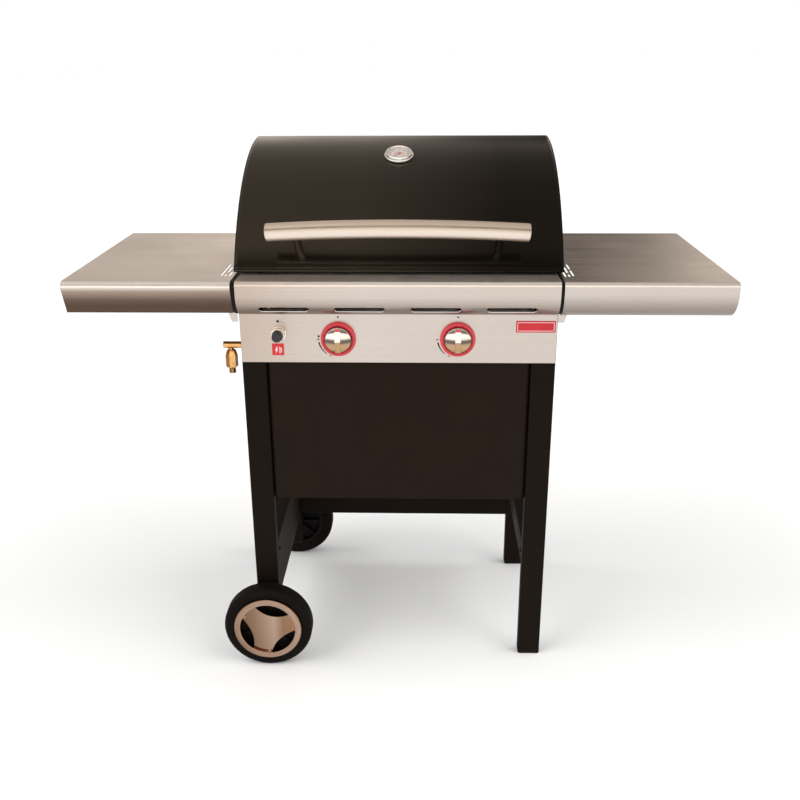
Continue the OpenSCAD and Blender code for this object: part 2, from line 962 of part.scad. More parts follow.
// domed knob with an upright fin of two flat slopes that meet in the middle, +Z towards the cook
module knob(side) {
  r = knob_d / 2;
  dome_r = 38;
  dome_h = 9;
  base = knob_gap;
  dome_top = base + 1.2 + knob_skirt + dome_h;
  fin_w = 11.6;
  fin_reach = r - 1.5;
  fin_edge = dome_top - 5;
  fin_peak = dome_top + 4;
  color(CHROME)
    translate([side * knob_x, -face_y - 0.1, knob_z])
      rotate([90, 0, 0])
        difference() {
          union() {
            translate([0, 0, base + 1.2]) cylinder(h = knob_skirt, r = r, $fn = 96);
            intersection() {
              translate([0, 0, dome_top - dome_r]) sphere(r = dome_r, $fn = 96);
              translate([0, 0, base + 2]) cylinder(h = 30, r = r - eps, $fn = 96);
            }
            intersection() {
              along_x(-fin_w / 2, fin_w / 2)
                polygon([[-fin_reach, base + 2], [-fin_reach, fin_edge], [0, fin_peak],
                  [fin_reach, fin_edge], [fin_reach, base + 2]]);
              translate([0, 0, base]) cylinder(h = 30, r = r - 0.4, $fn = 96);
            }
          }
          translate([0, 0, base]) cylinder(h = 14, d = stem_d);
        }
}

module knob_left() { knob(-1); }
module knob_right() { knob(1); }

// valve spindle that turns and pushes with its knob
module valve_stem(side) {
  color(BRASS)
    rod_y(-face_y - 18, valve_y + 12, side * knob_x, knob_z, stem_d);
}

module stem_left() { valve_stem(-1); }
module stem_right() { valve_stem(1); }

// spring seat on the spindle: it slides in with the spindle but doesn't turn
module spring_collar(side) {
  color(CHROME)
    difference() {
      rod_y(-face_y + 1, -face_y + 4, side * knob_x, knob_z, 14);
      rod_y(-face_y, -face_y + 5, side * knob_x, knob_z, stem_d + 2 * stem_clear);
    }
}

module collar_left() { spring_collar(-1); }
module collar_right() { spring_collar(1); }

// valve body with a spindle bore, a saddle on the manifold and an orifice in the burner mouth
module gas_valves() {
  color(BRASS)
    both_sides()
      difference() {
        union() {
          block([knob_x - 13, valve_y, knob_z - 15], [knob_x + 13, pipe_y + 8, knob_z + 14]);
          block([knob_x - 11, pipe_y - 9, pipe_z], [knob_x + 11, pipe_y + 8, knob_z - 14]);
          rod_y(valve_y - 3, valve_y + 1, knob_x, knob_z, 16);
          rod_y(pipe_y + 7, -141, knob_x, burner_z, 8);
        }
        rod_y(valve_y - 4, valve_y + 18, knob_x, knob_z, stem_d + 2 * stem_clear);
        rod_x(knob_x - 14, knob_x + 14, pipe_y, pipe_z, pipe_d);
        rod_y(-148, -140, knob_x, burner_z, 2);
      }
}

module manifold() {
  color(BRASS)
    difference() {
      rod_x(pipe_left, pipe_right, pipe_y, pipe_z, pipe_d);
      rod_x(pipe_left + 3, pipe_right - 3, pipe_y, pipe_z, pipe_d - 3);
      translate([inlet_x, pipe_y, pipe_z - pipe_d]) cylinder(h = pipe_d, d = 6);
    }
}

// hexagon fitting that hangs from the manifold's left end, its stub pointing down
module gas_inlet() {
  neck_z = pipe_z - pipe_d / 2;
  hex_d = 24;
  hex_top = neck_z - 7;
  hex_h = 30;
  stub_top = hex_top - hex_h - 3;
  color(BRASS)
    translate([inlet_x, pipe_y, 0])
      difference() {
        union() {
          translate([0, 0, hex_top - eps]) cylinder(h = neck_z - hex_top + 1.2, d = 10);
          intersection() {
            translate([0, 0, hex_top - hex_h])
              rotate([0, 0, hex_turn]) cylinder(h = hex_h + 6, d = hex_d, $fn = 6);
            translate([0, 0, hex_top - hex_h - 6]) cylinder(h = hex_h + 12, r1 = 21, r2 = 7.4);
          }
          translate([0, 0, stub_top]) cylinder(h = 3 + eps, r1 = stub_d / 2, r2 = 10);
          translate([0, 0, stub_top - stub_l]) cylinder(h = stub_l + eps, d = stub_d);
        }
        translate([0, 0, stub_top - stub_l - 1]) cylinder(h = 60, d = 6);
        rod_x(-20, 20, 0, pipe_z, pipe_d);
      }
}

// igniter housing: bright bezel in front, barrel and ring nut behind the panel
module igniter_body() {
  color(CHROME)
    translate([igniter_x, -face_y, igniter_z])
      rotate([90, 0, 0])
        difference() {
          union() {
            rotate_extrude($fn = 64)
              polygon([[0, 0.1], [14.5, 0.1], [14.5, 3.6], [13.4, 4.9], [12.4, 4.9], [12.4, 12.4],
                [11.8, 13], [11, 13], [11, 18.8], [10.4, 19.4], [0, 19.4]]);
            translate([0, 0, -36]) cylinder(h = 36.2, d = barrel_d);
            translate([0, 0, -6.5]) cylinder(h = 4.8, d = 30, $fn = 6);
          }
          translate([0, 0, -24]) cylinder(h = 50, d = button_d + 2 * button_clear);
        }
}

module igniter_button() {
  color(BLACK)
    translate([igniter_x, -face_y, igniter_z])
      rotate([90, 0, 0]) {
        translate([0, 0, -12]) cylinder(h = button_out + 11, d = button_d);
        translate([0, 0, button_out - 1 - eps]) cylinder(h = 1, r1 = button_d / 2, r2 = button_d / 2 - 1);
      }
}

// ---------- side shelves ----------

// louvre rows near each inner front corner: [distance from the middle, slot starts and ends]
LOUVRES_LEFT = [[327.2, [[-178, -80]]], [319.5, [[-183, -163], [-152, -103]]],
  [311.8, [[-183, -144], [-136, -96]]]];
LOUVRES_RIGHT = [[321.8, [[-178, -130], [-123, -80]]], [314.1, [[-183, -163], [-152, -103]]],
  [306.7, [[-183, -144], [-136, -96]]]];
louvre_w = 3.4;

// side outline of the right shelf, shrunk by inset, in (Y, Z)
module shelf_outline(inset) {
  lip_outline(inset);
  translate([lip_cy, shelf_z - lip_h + inset])
    square([shelf_rear - lip_cy - inset, lip_h - 2 * inset]);
}

// side outline of the left shelf: round top corner, then a flat front that leans back
module lean_outline(inset) {
  r = lean_corner_r - inset;
  front = lip_y + inset;
  top = shelf_z - inset;
  low = shelf_z - left_lip_h + inset;
  lean = atan(lean_run / (left_lip_h - lean_corner_r));
  foot = lip_y + lean_run + inset / cos(lean);
  translate([front + r, top - r]) circle(r = r);
  polygon([[front + r, top], [front, top - r], [foot, low], [shelf_rear - inset, low],
    [shelf_rear - inset, top]]);
}

// folded tray, open below, for the right-hand side
module side_shelf(shelf_in, louvres, leans) {
  outer = overall_w / 2;
  low = shelf_z - (leans ? left_lip_h : lip_h);
  return_w = 12;
  color(STEEL) {
    difference() {
      along_x(shelf_in, outer) {
        if (leans) lean_outline(0);
        else shelf_outline(0);
      }
      along_x(shelf_in + sheet, outer - sheet) {
        if (leans) lean_outline(sheet);
        else shelf_outline(sheet);
      }
      block([shelf_in + sheet, lip_cy + return_w, low - 1], [outer - sheet, shelf_rear - sheet, lip_cz]);
      for (row = louvres, s = row[1])
        slot_y(row[0], s[0], s[1], shelf_z - 4, shelf_z + 1, louvre_w);
    }
    shelf_tab(shelf_in, low);
  }
}

// tab that hangs from the lip beside the leg
module shelf_tab(shelf_in, low) {
  neck = shelf_z - lip_h + 3;
  foot = shelf_z - lip_h - 11;
  along_y(-face_y, -face_y + sheet)
    polygon([[shelf_in + 0.3, low + 8], [shelf_in + 0.3, neck], [shelf_in - 5, neck],
      [shelf_in - 5, foot], [shelf_in + 6, foot], [shelf_in + 11, neck], [shelf_in + 11, low + 8]]);
}

module side_shelf_right() { side_shelf(shelf_in_right, LOUVRES_RIGHT, false); }
module side_shelf_left() { mirror([1, 0, 0]) side_shelf(shelf_in_left, LOUVRES_LEFT, true); }

// spacers between the legs and a shelf, on the right-hand side
module shelf_spacers(shelf_in) {
  for (y = [-leg_front + 2, leg_rear - leg_d + 2])
    block([leg_out, y, shelf_z - 52], [shelf_in, y + leg_d - 4, shelf_z - 17]);
}

module shelf_brackets() {
  color(BLACK) {
    shelf_spacers(shelf_in_right);
    mirror([1, 0, 0]) shelf_spacers(shelf_in_left);
  }
}

// ---------- assembly ----------

leg_front_left();
leg_front_right();
leg_rear_left();
leg_rear_right();
leg_caps();
side_rail_left();
side_rail_right();
rear_crossbar();
front_apron();
frame_screws();
wheel_axle();
axle_nuts();
axle_washers();
tyre_front();
tyre_rear();
rim_front();
rim_rear();
hub_cap_front();
hub_cap_rear();
firebox();
tray_rails();
drip_tray();
burners();
heat_plates();
electrodes();
grate_left();
grate_right();
warming_rack();
hinge_brackets();
hinge_pins();
lid_shell();
lid_end_left();
lid_end_right();
handle_tube();
handle_end_caps();
handle_posts();
handle_screws();
thermometer_case();
thermometer_dial();
thermometer_needle();
thermometer_glass();
control_panel();
panel_seals();
knob_bezels();
knob_left();
knob_right();
stem_left();
stem_right();
collar_left();
collar_right();
gas_valves();
manifold();
gas_inlet();
igniter_body();
igniter_button();
side_shelf_left();
side_shelf_right();
shelf_brackets();
badge_plate();
igniter_label();
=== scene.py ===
import json
import math

import bmesh
import bpy
from mathutils import Matrix, Vector


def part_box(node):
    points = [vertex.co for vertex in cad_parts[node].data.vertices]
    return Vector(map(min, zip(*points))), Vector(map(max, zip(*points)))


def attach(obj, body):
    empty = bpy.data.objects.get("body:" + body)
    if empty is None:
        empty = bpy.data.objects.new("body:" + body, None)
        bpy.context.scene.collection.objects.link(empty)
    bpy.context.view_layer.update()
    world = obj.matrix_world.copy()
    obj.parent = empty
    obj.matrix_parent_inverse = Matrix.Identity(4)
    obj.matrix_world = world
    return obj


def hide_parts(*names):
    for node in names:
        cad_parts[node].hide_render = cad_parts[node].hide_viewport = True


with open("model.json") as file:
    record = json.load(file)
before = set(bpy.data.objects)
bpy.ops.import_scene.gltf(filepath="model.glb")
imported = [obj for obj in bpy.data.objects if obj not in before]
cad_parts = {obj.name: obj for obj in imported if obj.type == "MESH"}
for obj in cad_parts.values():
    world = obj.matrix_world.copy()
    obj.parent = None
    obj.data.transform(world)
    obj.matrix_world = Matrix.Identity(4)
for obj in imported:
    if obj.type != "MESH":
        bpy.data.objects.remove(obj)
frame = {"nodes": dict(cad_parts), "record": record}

for stray in ("Cube", "Light", "Camera"):
    if stray in bpy.data.objects:
        bpy.data.objects.remove(bpy.data.objects[stray])
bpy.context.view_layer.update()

NODES = frame["nodes"]
BODY_OF = {node: body for body, nodes in frame["record"]["behaviour"]["bodies"].items() for node in nodes}
MM = 0.001


# ---------- camera, floor and light ----------

def look_camera():
    """Camera at the photograph's angle."""
    place = Vector((0.0479, -1.8681, 1.217))
    yaw, pitch, roll = -0.0268, 0.367, -0.0045
    forward = Vector((math.sin(yaw) * math.cos(pitch), math.cos(yaw) * math.cos(pitch), -math.sin(pitch)))
    side = Vector((math.cos(yaw), -math.sin(yaw), 0.0))
    up = side.cross(forward)
    right = math.cos(roll) * side + math.sin(roll) * up
    top = -math.sin(roll) * side + math.cos(roll) * up
    data = bpy.data.cameras.new("camera")
    data.sensor_width = 36.0
    data.lens = 42.17
    data.clip_start = 0.05
    camera = bpy.data.objects.new("camera", data)
    turn = Matrix((right, top, -forward)).transposed().to_4x4()
    camera.matrix_world = Matrix.Translation(place) @ turn
    bpy.context.scene.collection.objects.link(camera)
    bpy.context.scene.camera = camera


def sun(name, direction, strength, angle, colour):
    """Wide soft lamp that lights surfaces but doesn't show as a disc in the metal."""
    data = bpy.data.lights.new(name, "SUN")
    data.energy = strength
    data.angle = math.radians(angle)
    data.color = colour
    lamp = bpy.data.objects.new(name, data)
    lamp.rotation_euler = Vector(direction).to_track_quat("Z", "Y").to_euler()
    lamp.visible_glossy = False
    bpy.context.scene.collection.objects.link(lamp)


def ramp(tree, factor, stops, kind="LINEAR"):
    node = tree.nodes.new("ShaderNodeValToRGB")
    node.color_ramp.interpolation = kind
    for element in list(node.color_ramp.elements)[1:]:
        node.color_ramp.elements.remove(element)
    node.color_ramp.elements[0].position = stops[0][0]
    node.color_ramp.elements[0].color = (*stops[0][1], 1.0)
    for place, colour in stops[1:]:
        node.color_ramp.elements.new(place).color = (*colour, 1.0)
    tree.links.new(factor, node.inputs["Fac"])
    return node.outputs["Color"]


def math_node(tree, kind, a, b=None, c=None, clamp=False):
    node = tree.nodes.new("ShaderNodeMath")
    node.operation = kind
    node.use_clamp = clamp
    for socket, value in zip(node.inputs, (a, b, c)):
        if value is None:
            continue
        if isinstance(value, (int, float)):
            socket.default_value = value
        else:
            tree.links.new(value, socket)
    return node.outputs[0]


def mix_colour(tree, factor, a, b, kind="MIX"):
    node = tree.nodes.new("ShaderNodeMix")
    node.data_type = "RGBA"
    node.blend_type = kind
    for index, value in ((0, factor), (6, a), (7, b)):
        socket = node.inputs[index]
        if isinstance(value, (int, float)):
            socket.default_value = value
        elif isinstance(value, tuple):
            socket.default_value = (*value, 1.0)
        else:
            tree.links.new(value, socket)
    return node.outputs[2]


def studio_world():
    """Neutral soft light, with a warm room to reflect: brighter ahead, above and on the left."""
    world = bpy.data.worlds.new("studio")
    bpy.context.scene.world = world
    world.use_nodes = True
    tree = world.node_tree
    tree.nodes.clear()
    coords = tree.nodes.new("ShaderNodeTexCoord")
    split = tree.nodes.new("ShaderNodeSeparateXYZ")
    tree.links.new(coords.outputs["Generated"], split.inputs[0])
    across = math_node(tree, "MULTIPLY_ADD", split.outputs["X"], 0.5, 0.5)
    ahead = math_node(tree, "MULTIPLY", split.outputs["Y"], -1.0)
    turn = math_node(tree, "ARCTAN2", split.outputs["Z"], ahead)
    over = math_node(tree, "DIVIDE", turn, math.pi, clamp=True)

    def level(value):
        return (value, 0.885 * value, 0.775 * value)

    left = ramp(tree, over, [(0.0, level(1.5)), (0.05, level(1.75)), (0.16, level(1.7)), (0.2, level(0.3)),
                             (0.27, level(0.2)), (0.33, level(1.0)), (0.5, level(0.72)), (0.7, level(0.5)),
                             (0.82, level(0.6))])
    right = ramp(tree, over, [(0.0, level(1.25)), (0.05, level(1.5)), (0.16, level(1.4)),
                              (0.2, level(0.25)),
                              (0.27, level(0.18)), (0.33, level(0.6)), (0.5, level(0.5)), (0.7, level(0.5)),
                              (0.82, level(0.45))])
    back = ramp(tree, across, [(0.0, level(0.75)), (0.3, level(0.78)), (0.36, level(0.85)),
                               (0.41, level(1.1)),
                               (0.45, level(0.7)), (0.54, level(0.18)), (0.575, level(0.05)),
                               (0.605, level(0.2)),
                               (0.65, level(1.0)), (1.0, level(0.9))], "EASE")
    beside = math_node(tree, "MULTIPLY_ADD", across, 1.6, -0.3, clamp=True)
    sky = mix_colour(tree, beside, left, right)
    behind = math_node(tree, "MULTIPLY_ADD", over, 12.0, -9.7, clamp=True)
    room = mix_colour(tree, behind, sky, back)
    path = tree.nodes.new("ShaderNodeLightPath")
    soft = mix_colour(tree, path.outputs["Is Diffuse Ray"], room, (0.62, 0.62, 0.62))
    colour = mix_colour(tree, path.outputs["Is Camera Ray"], soft, (1.0, 1.0, 1.0))
    background = tree.nodes.new("ShaderNodeBackground")
    output = tree.nodes.new("ShaderNodeOutputWorld")
    tree.links.new(colour, background.inputs["Color"])
    tree.links.new(background.outputs[0], output.inputs[0])


def studio_floor():
    mesh = bpy.data.meshes.new("studio_floor")
    half = 30.0
    mesh.from_pydata([(-half, -half, 0), (half, -half, 0), (half, half, 0), (-half, half, 0)], [],
                     [(0, 1, 2, 3)])
    floor = bpy.data.objects.new("studio_floor", mesh)
    bpy.context.scene.collection.objects.link(floor)
    material = bpy.data.materials.new("studio_floor")
    material.use_nodes = True
    shader = material.node_tree.nodes["Principled BSDF"]
    shader.inputs["Base Color"].default_value = (0.93, 0.93, 0.93, 1.0)
    shader.inputs["Roughness"].default_value = 0.9
    shader.inputs["Specular IOR Level"].default_value = 0.0
    mesh.materials.append(material)


look_camera()
studio_world()
studio_floor()
SOFT_WHITE = (1.0, 0.995, 0.985)
sun("left_soft_light", (-0.8, -0.25, 0.62), 1.75, 60, SOFT_WHITE)
sun("right_soft_light", (0.8, -0.2, 0.66), 1.45, 60, SOFT_WHITE)
bpy.context.scene.view_settings.view_transform = "Standard"


# ---------- materials ----------

class Look:
    """One node material, with its texture space in metres on the object."""

    def __init__(self, name, **sockets):
        self.material = bpy.data.materials.new(name)
        self.material.use_nodes = True
        self.tree = self.material.node_tree
        self.shader = self.tree.nodes["Principled BSDF"]
        self.position = self.tree.nodes.new("ShaderNodeTexCoord").outputs["Object"]
        for socket, value in sockets.items():
            self.set(socket.replace("_", " "), value)

    def set(self, socket, value):
        socket = self.shader.inputs[{"Specular": "Specular IOR Level"}.get(socket, socket)]
        if isinstance(value, tuple):
            socket.default_value = (*value, 1.0) if len(value) == 3 else value
        elif isinstance(value, (int, float)):
            socket.default_value = value
        else:
            self.tree.links.new(value, socket)

    def stretched(self, scale):
        node = self.tree.nodes.new("ShaderNodeMapping")
        node.inputs["Scale"].default_value = scale
        self.tree.links.new(self.position, node.inputs["Vector"])
        return node.outputs["Vector"]

    def noise(self, scale=1.0, detail=3.0, rough=0.5, stretch=(1, 1, 1), distortion=0.0):
        node = self.tree.nodes.new("ShaderNodeTexNoise")
        node.inputs["Scale"].default_value = scale
        node.inputs["Detail"].default_value = detail
        node.inputs["Roughness"].default_value = rough
        node.inputs["Distortion"].default_value = distortion
        self.tree.links.new(self.stretched(stretch), node.inputs["Vector"])
        return node.outputs["Fac"]

    def cells(self, scale):
        node = self.tree.nodes.new("ShaderNodeTexVoronoi")
        node.inputs["Scale"].default_value = scale
        self.tree.links.new(self.position, node.inputs["Vector"])
        return node.outputs["Distance"]

    def facing(self, axis="Z"):
        """One part of the surface's own normal, from -1 to 1."""
        geometry = self.tree.nodes.new("ShaderNodeNewGeometry")
        split = self.tree.nodes.new("ShaderNodeSeparateXYZ")
        self.tree.links.new(geometry.outputs["Normal"], split.inputs[0])
        return split.outputs[axis]

    def along(self, axis="X"):
        """One coordinate on the object, in metres."""
        split = self.tree.nodes.new("ShaderNodeSeparateXYZ")
        self.tree.links.new(self.position, split.inputs[0])
        return split.outputs[axis]

    def painted_light(self, factor, stops):
        """Painted light: colours that follow a value; each stop is (value, colour)."""
        start, end = stops[0][0], stops[-1][0]
        places = [((value - start) / (end - start), colour) for value, colour in stops]
        return ramp(self.tree, self.spread(factor, 0.0, 1.0, start, end), places)

    def spread(self, factor, low, high, start=0.3, end=0.7):
        node = self.tree.nodes.new("ShaderNodeMapRange")
        for socket, value in (("From Min", start), ("From Max", end), ("To Min", low), ("To Max", high)):
            node.inputs[socket].default_value = value
        self.tree.links.new(factor, node.inputs["Value"])
        return node.outputs["Result"]

    def blend(self, factor, a, b, kind="MIX"):
        return mix_colour(self.tree, factor, a, b, kind)

    def times(self, a, b):
        return math_node(self.tree, "MULTIPLY", a, b)

    def plus(self, a, b):
        return math_node(self.tree, "ADD", a, b)

    def bump(self, height, distance):
        node = self.tree.nodes.new("ShaderNodeBump")
        node.inputs["Distance"].default_value = distance
        node.inputs["Strength"].default_value = 1.0
        self.tree.links.new(height, node.inputs["Height"])
        self.tree.links.new(node.outputs["Normal"], self.shader.inputs["Normal"])


def brushed(name, light, dark, along=(3, 900, 900), rough=(0.24, 0.34), anisotropic=0.0, painted_light_by_facing=None,
            tops=1.0,
            painted_shade_by_x=None, painted_light_by_height=None):
    """Brushed sheet: fine lines along the grain, soft cloudy smudges, painted browner shade on faces turned
    down and towards the ends, and painted highlights on the top corners.
    """
    look = Look(name, Metallic=1.0)
    grain = look.noise(1.0, 4.0, 0.6, along)
    coarse = look.noise(0.28, 3.0, 0.55, along)
    cloud = look.noise(5.0, 3.0, 0.5)
    tone = look.plus(look.times(grain, 0.55), look.times(coarse, 0.45))
    colour = look.blend(look.spread(tone, 0.0, 1.0, 0.36, 0.64), dark, light)
    colour = look.blend(look.spread(cloud, 0.0, 0.12), colour, tuple(0.86 * c for c in dark))
    # painted light by facing: darker, browner faces turned down and brighter top corners, multiplied into
    # the colour
    if painted_light_by_facing:
        colour = look.blend(1.0, colour, look.painted_light(look.facing(), painted_light_by_facing), "MULTIPLY")
        look.set("Metallic", look.spread(look.facing(), 1.0, tops, 0.6, 0.95))
    # painted shade along X: darker towards the ends of the piece
    if painted_shade_by_x:
        colour = look.blend(1.0, colour, look.painted_light(look.along(), painted_shade_by_x), "MULTIPLY")
    # painted light up a sloping front: darker low down and brighter near the top, only where the face turns
    # down
    if painted_light_by_height:
        painted_light_lean_mask = look.spread(look.facing(), 1.0, 0.0, -0.3, -0.22)
        colour = look.blend(painted_light_lean_mask, colour, look.painted_light(look.along("Z"), painted_light_by_height), "MULTIPLY")
    look.set("Base Color", colour)
    base = look.spread(cloud, rough[0], rough[1])
    look.set("Roughness", look.plus(base, look.spread(tone, -0.03, 0.05, 0.4, 0.6)))
    look.bump(grain, 0.000012)
    if anisotropic:
        tangent = look.tree.nodes.new("ShaderNodeTangent")
        tangent.direction_type = "UV_MAP"
        tangent.uv_map = "grain"
        look.tree.links.new(tangent.outputs[0], look.shader.inputs["Tangent"])
        look.set("Anisotropic", anisotropic)
    return look.material


def polished(name, colour, rough=(0.05, 0.12), axis="Z", painted_light=None):
    """Plated metal with faint fingermarks and polishing haze; optional painted reflection and shade follow
    one part of the normal.
    """
    look = Look(name, Metallic=1.0)
    haze = look.noise(28.0, 4.0, 0.6)
    fine = look.noise(900.0, 2.0)
    base = look.blend(look.spread(haze, 0.0, 0.25), colour, tuple(0.8 * c for c in colour))
    # painted reflection and shade by one part of the normal, multiplied into the colour
    if painted_light:
        base = look.blend(1.0, base, look.painted_light(look.facing(axis), painted_light), "MULTIPLY")
    look.set("Base Color", base)
    look.set("Roughness", look.spread(haze, rough[0], rough[1]))
    look.bump(fine, 0.000003)
    return look.material


def powder_coat(name, colour, specular=0.1):
    """Baked paint with orange-peel grain, dust and paler rubbed patches."""
    look = Look(name, Specular=specular, Specular_Tint=(1.0, 0.8, 0.66))
    peel = look.noise(620.0, 2.0, 0.5)
    cloud = look.noise(7.0, 4.0, 0.6)
    dust = look.cells(230.0)
    worn = look.spread(cloud, 0.0, 0.5, 0.5, 0.8)
    base = look.blend(worn, colour, tuple(1.7 * c + 0.001 for c in colour))
    look.set("Base Color", look.blend(look.spread(dust, 0.06, 0.0, 0.0, 0.1), base, (0.05, 0.04, 0.032)))
    look.set("Roughness", look.spread(cloud, 0.58, 0.7))
    look.bump(peel, 0.00004)
    return look.material


def enamel(name, colour):
    """Glossy stove enamel: brown-black, a slow ripple, faint wiping marks."""
    look = Look(name, Specular=0.5, Specular_Tint=(1.0, 0.86, 0.72))
    ripple = look.noise(60.0, 2.0, 0.4)
    wipe = look.noise(1.0, 4.0, 0.6, (4, 26, 26), 0.4)
    specks = look.cells(160.0)
    base = look.blend(look.spread(wipe, 0.0, 0.4), colour, tuple(1.6 * c for c in colour))
    look.set("Base Color", look.blend(look.spread(specks, 0.06, 0.0, 0.0, 0.06), base, (0.12, 0.11, 0.10)))
    look.set("Roughness", look.spread(wipe, 0.1, 0.19))
    look.set("Specular", look.spread(look.along(), 0.5, 0.1, -0.08, 0.2))
    look.bump(ripple, 0.00003)
    return look.material


def moulded(name, colour, rough=(0.45, 0.6), grain=0.00005, scale=900.0, **sockets):
    """Moulded plastic or rubber with a fine spark-eroded grain."""
    look = Look(name, **sockets)
    fine = look.noise(scale, 3.0, 0.6)
    cloud = look.noise(16.0, 4.0, 0.6)
    paler = tuple(min(1.0, 1.5 * c + 0.003) for c in colour)
    look.set("Base Color", look.blend(look.spread(cloud, 0.0, 0.5), colour, paler))
    look.set("Roughness", look.spread(cloud, rough[0], rough[1]))
    look.bump(fine, grain)
    return look.material


def cast(name, colour):
    """Sand-cast iron: pitted skin, oil-dark hollows, a hint of brown."""
    look = Look(name, Metallic=0.35)
    sand = look.noise(420.0, 5.0, 0.65)
    pits = look.cells(260.0)
    rust = look.noise(22.0, 4.0, 0.6)
    base = look.blend(look.spread(sand, 0.0, 1.0), tuple(0.6 * c for c in colour), colour)
    look.set("Base Color", look.blend(look.spread(rust, 0.0, 0.35, 0.55, 0.8), base, (0.07, 0.04, 0.026)))
    look.set("Roughness", look.spread(sand, 0.5, 0.75))
    look.bump(look.plus(sand, look.times(pits, 0.5)), 0.0003)
    return look.material


def turned_brass(name):
    """Brass with turning lines, darker heat stains and painted shade on faces turned sideways."""
    look = Look(name, Metallic=1.0)
    stain = look.noise(75.0, 4.0, 0.6)
    lines = look.noise(1.0, 3.0, 0.5, (120, 120, 2600))
    base = look.blend(look.spread(stain, 0.0, 0.7), (0.86, 0.52, 0.21), (0.5, 0.27, 0.09))
    # painted shade by the sideways part of the normal: faces turned sideways darker and browner, front
    # faces full brass
    painted_shade_by_x = ((-0.95, (0.34, 0.24, 0.2)), (-0.3, (0.5, 0.4, 0.34)), (0.0, (1.0, 1.0, 1.0)),
             (0.6, (0.95, 0.9, 0.85)),
             (0.85, (0.08, 0.05, 0.04)))
    look.set("Base Color", look.blend(1.0, base, look.painted_light(look.facing("X"), painted_shade_by_x), "MULTIPLY"))
    look.set("Roughness", look.spread(stain, 0.12, 0.28))
    look.bump(lines, 0.00002)
    return look.material


def clear_glass(name):
    """Thin clear pane with a faint smear, so that the dial behind it stays lit."""
    look = Look(name, IOR=1.45, Alpha=0.1)
    smear = look.noise(60.0, 3.0, 0.5)
    look.set("Base Color", look.blend(look.spread(smear, 0.0, 0.3), (0.97, 0.98, 0.98), (0.88, 0.92, 0.92)))
    look.set("Roughness", look.spread(smear, 0.02, 0.08))
    return look.material


def grey(value, warmth=0.0):
    """Grey that turns brown as the warmth grows."""
    return (value, value * (1 - 0.5 * warmth), value * (1 - 0.85 * warmth))


STEEL_TONES = (0.638, 0.585, 0.545), (0.592, 0.541, 0.502)
# painted shade and painted highlight by the height part of the normal: -1 faces down, 0 forward and 1 up
# painted highlight on the top corners, brighter than the sheet's own colour
PAINTED_CORNER_HIGHLIGHT = ((0.05, grey(1.0)), (0.2, (1.4, 1.42, 1.46)), (0.6, (1.48, 1.58, 1.68)),
                 (0.95, (1.5, 1.62, 1.74)), (0.995, grey(1.0)))
PANEL_PAINTED_LIGHT = ((-1.0, grey(0.52, 0.16)), (-0.64, grey(0.56, 0.14)), (-0.4, grey(0.8, 0.1)),
               (-0.13, grey(1.0, 0.04)),
               *PAINTED_CORNER_HIGHLIGHT)
RIGHT_PAINTED_LIGHT = ((-1.0, grey(0.55, 0.16)), (-0.64, grey(0.56, 0.14)), (-0.4, grey(0.66, 0.1)),
               (-0.04, grey(0.93)),
               *PAINTED_CORNER_HIGHLIGHT)
LEFT_PAINTED_LIGHT = ((-1.0, grey(0.2, 0.3)), (-0.4, grey(0.2, 0.28)), (-0.31, grey(0.22, 0.28)),
              (-0.2, grey(0.7, 0.1)),
              (-0.1, grey(0.95, 0.02)), *PAINTED_CORNER_HIGHLIGHT)
# painted light on the handle: a darker band on faces turned a little up, brighter above and below
HANDLE_PAINTED_LIGHT = ((-1.0, grey(1.1)), (-0.15, grey(1.15)), (0.05, grey(1.05)), (0.2, grey(0.8)),
                (0.42, grey(0.8)),
                (0.6, grey(1.2)), (1.0, grey(1.25)))
# painted light up the left shelf's sloping front, in metres: painted shade low down, painted highlight near
# the top
LEFT_PAINTED_LIGHT_BY_HEIGHT = ((0.75, (0.8, 0.66, 0.58)), (0.765, (0.8, 0.68, 0.6)), (0.776, (1.15, 1.05, 0.98)),
                (0.786, (2.2, 2.1, 2.05)),
                (0.797, (3.6, 3.55, 3.5)), (0.7975, grey(1.0)))
# painted shade along the panel, in metres from its middle: darker towards its ends, most on the left
PANEL_PAINTED_SHADE_ALONG = ((-0.3, (0.86, 0.79, 0.74)), (-0.18, (0.96, 0.93, 0.91)), (-0.06, grey(1.0)),
               (0.3, (0.96, 0.95, 0.94)))

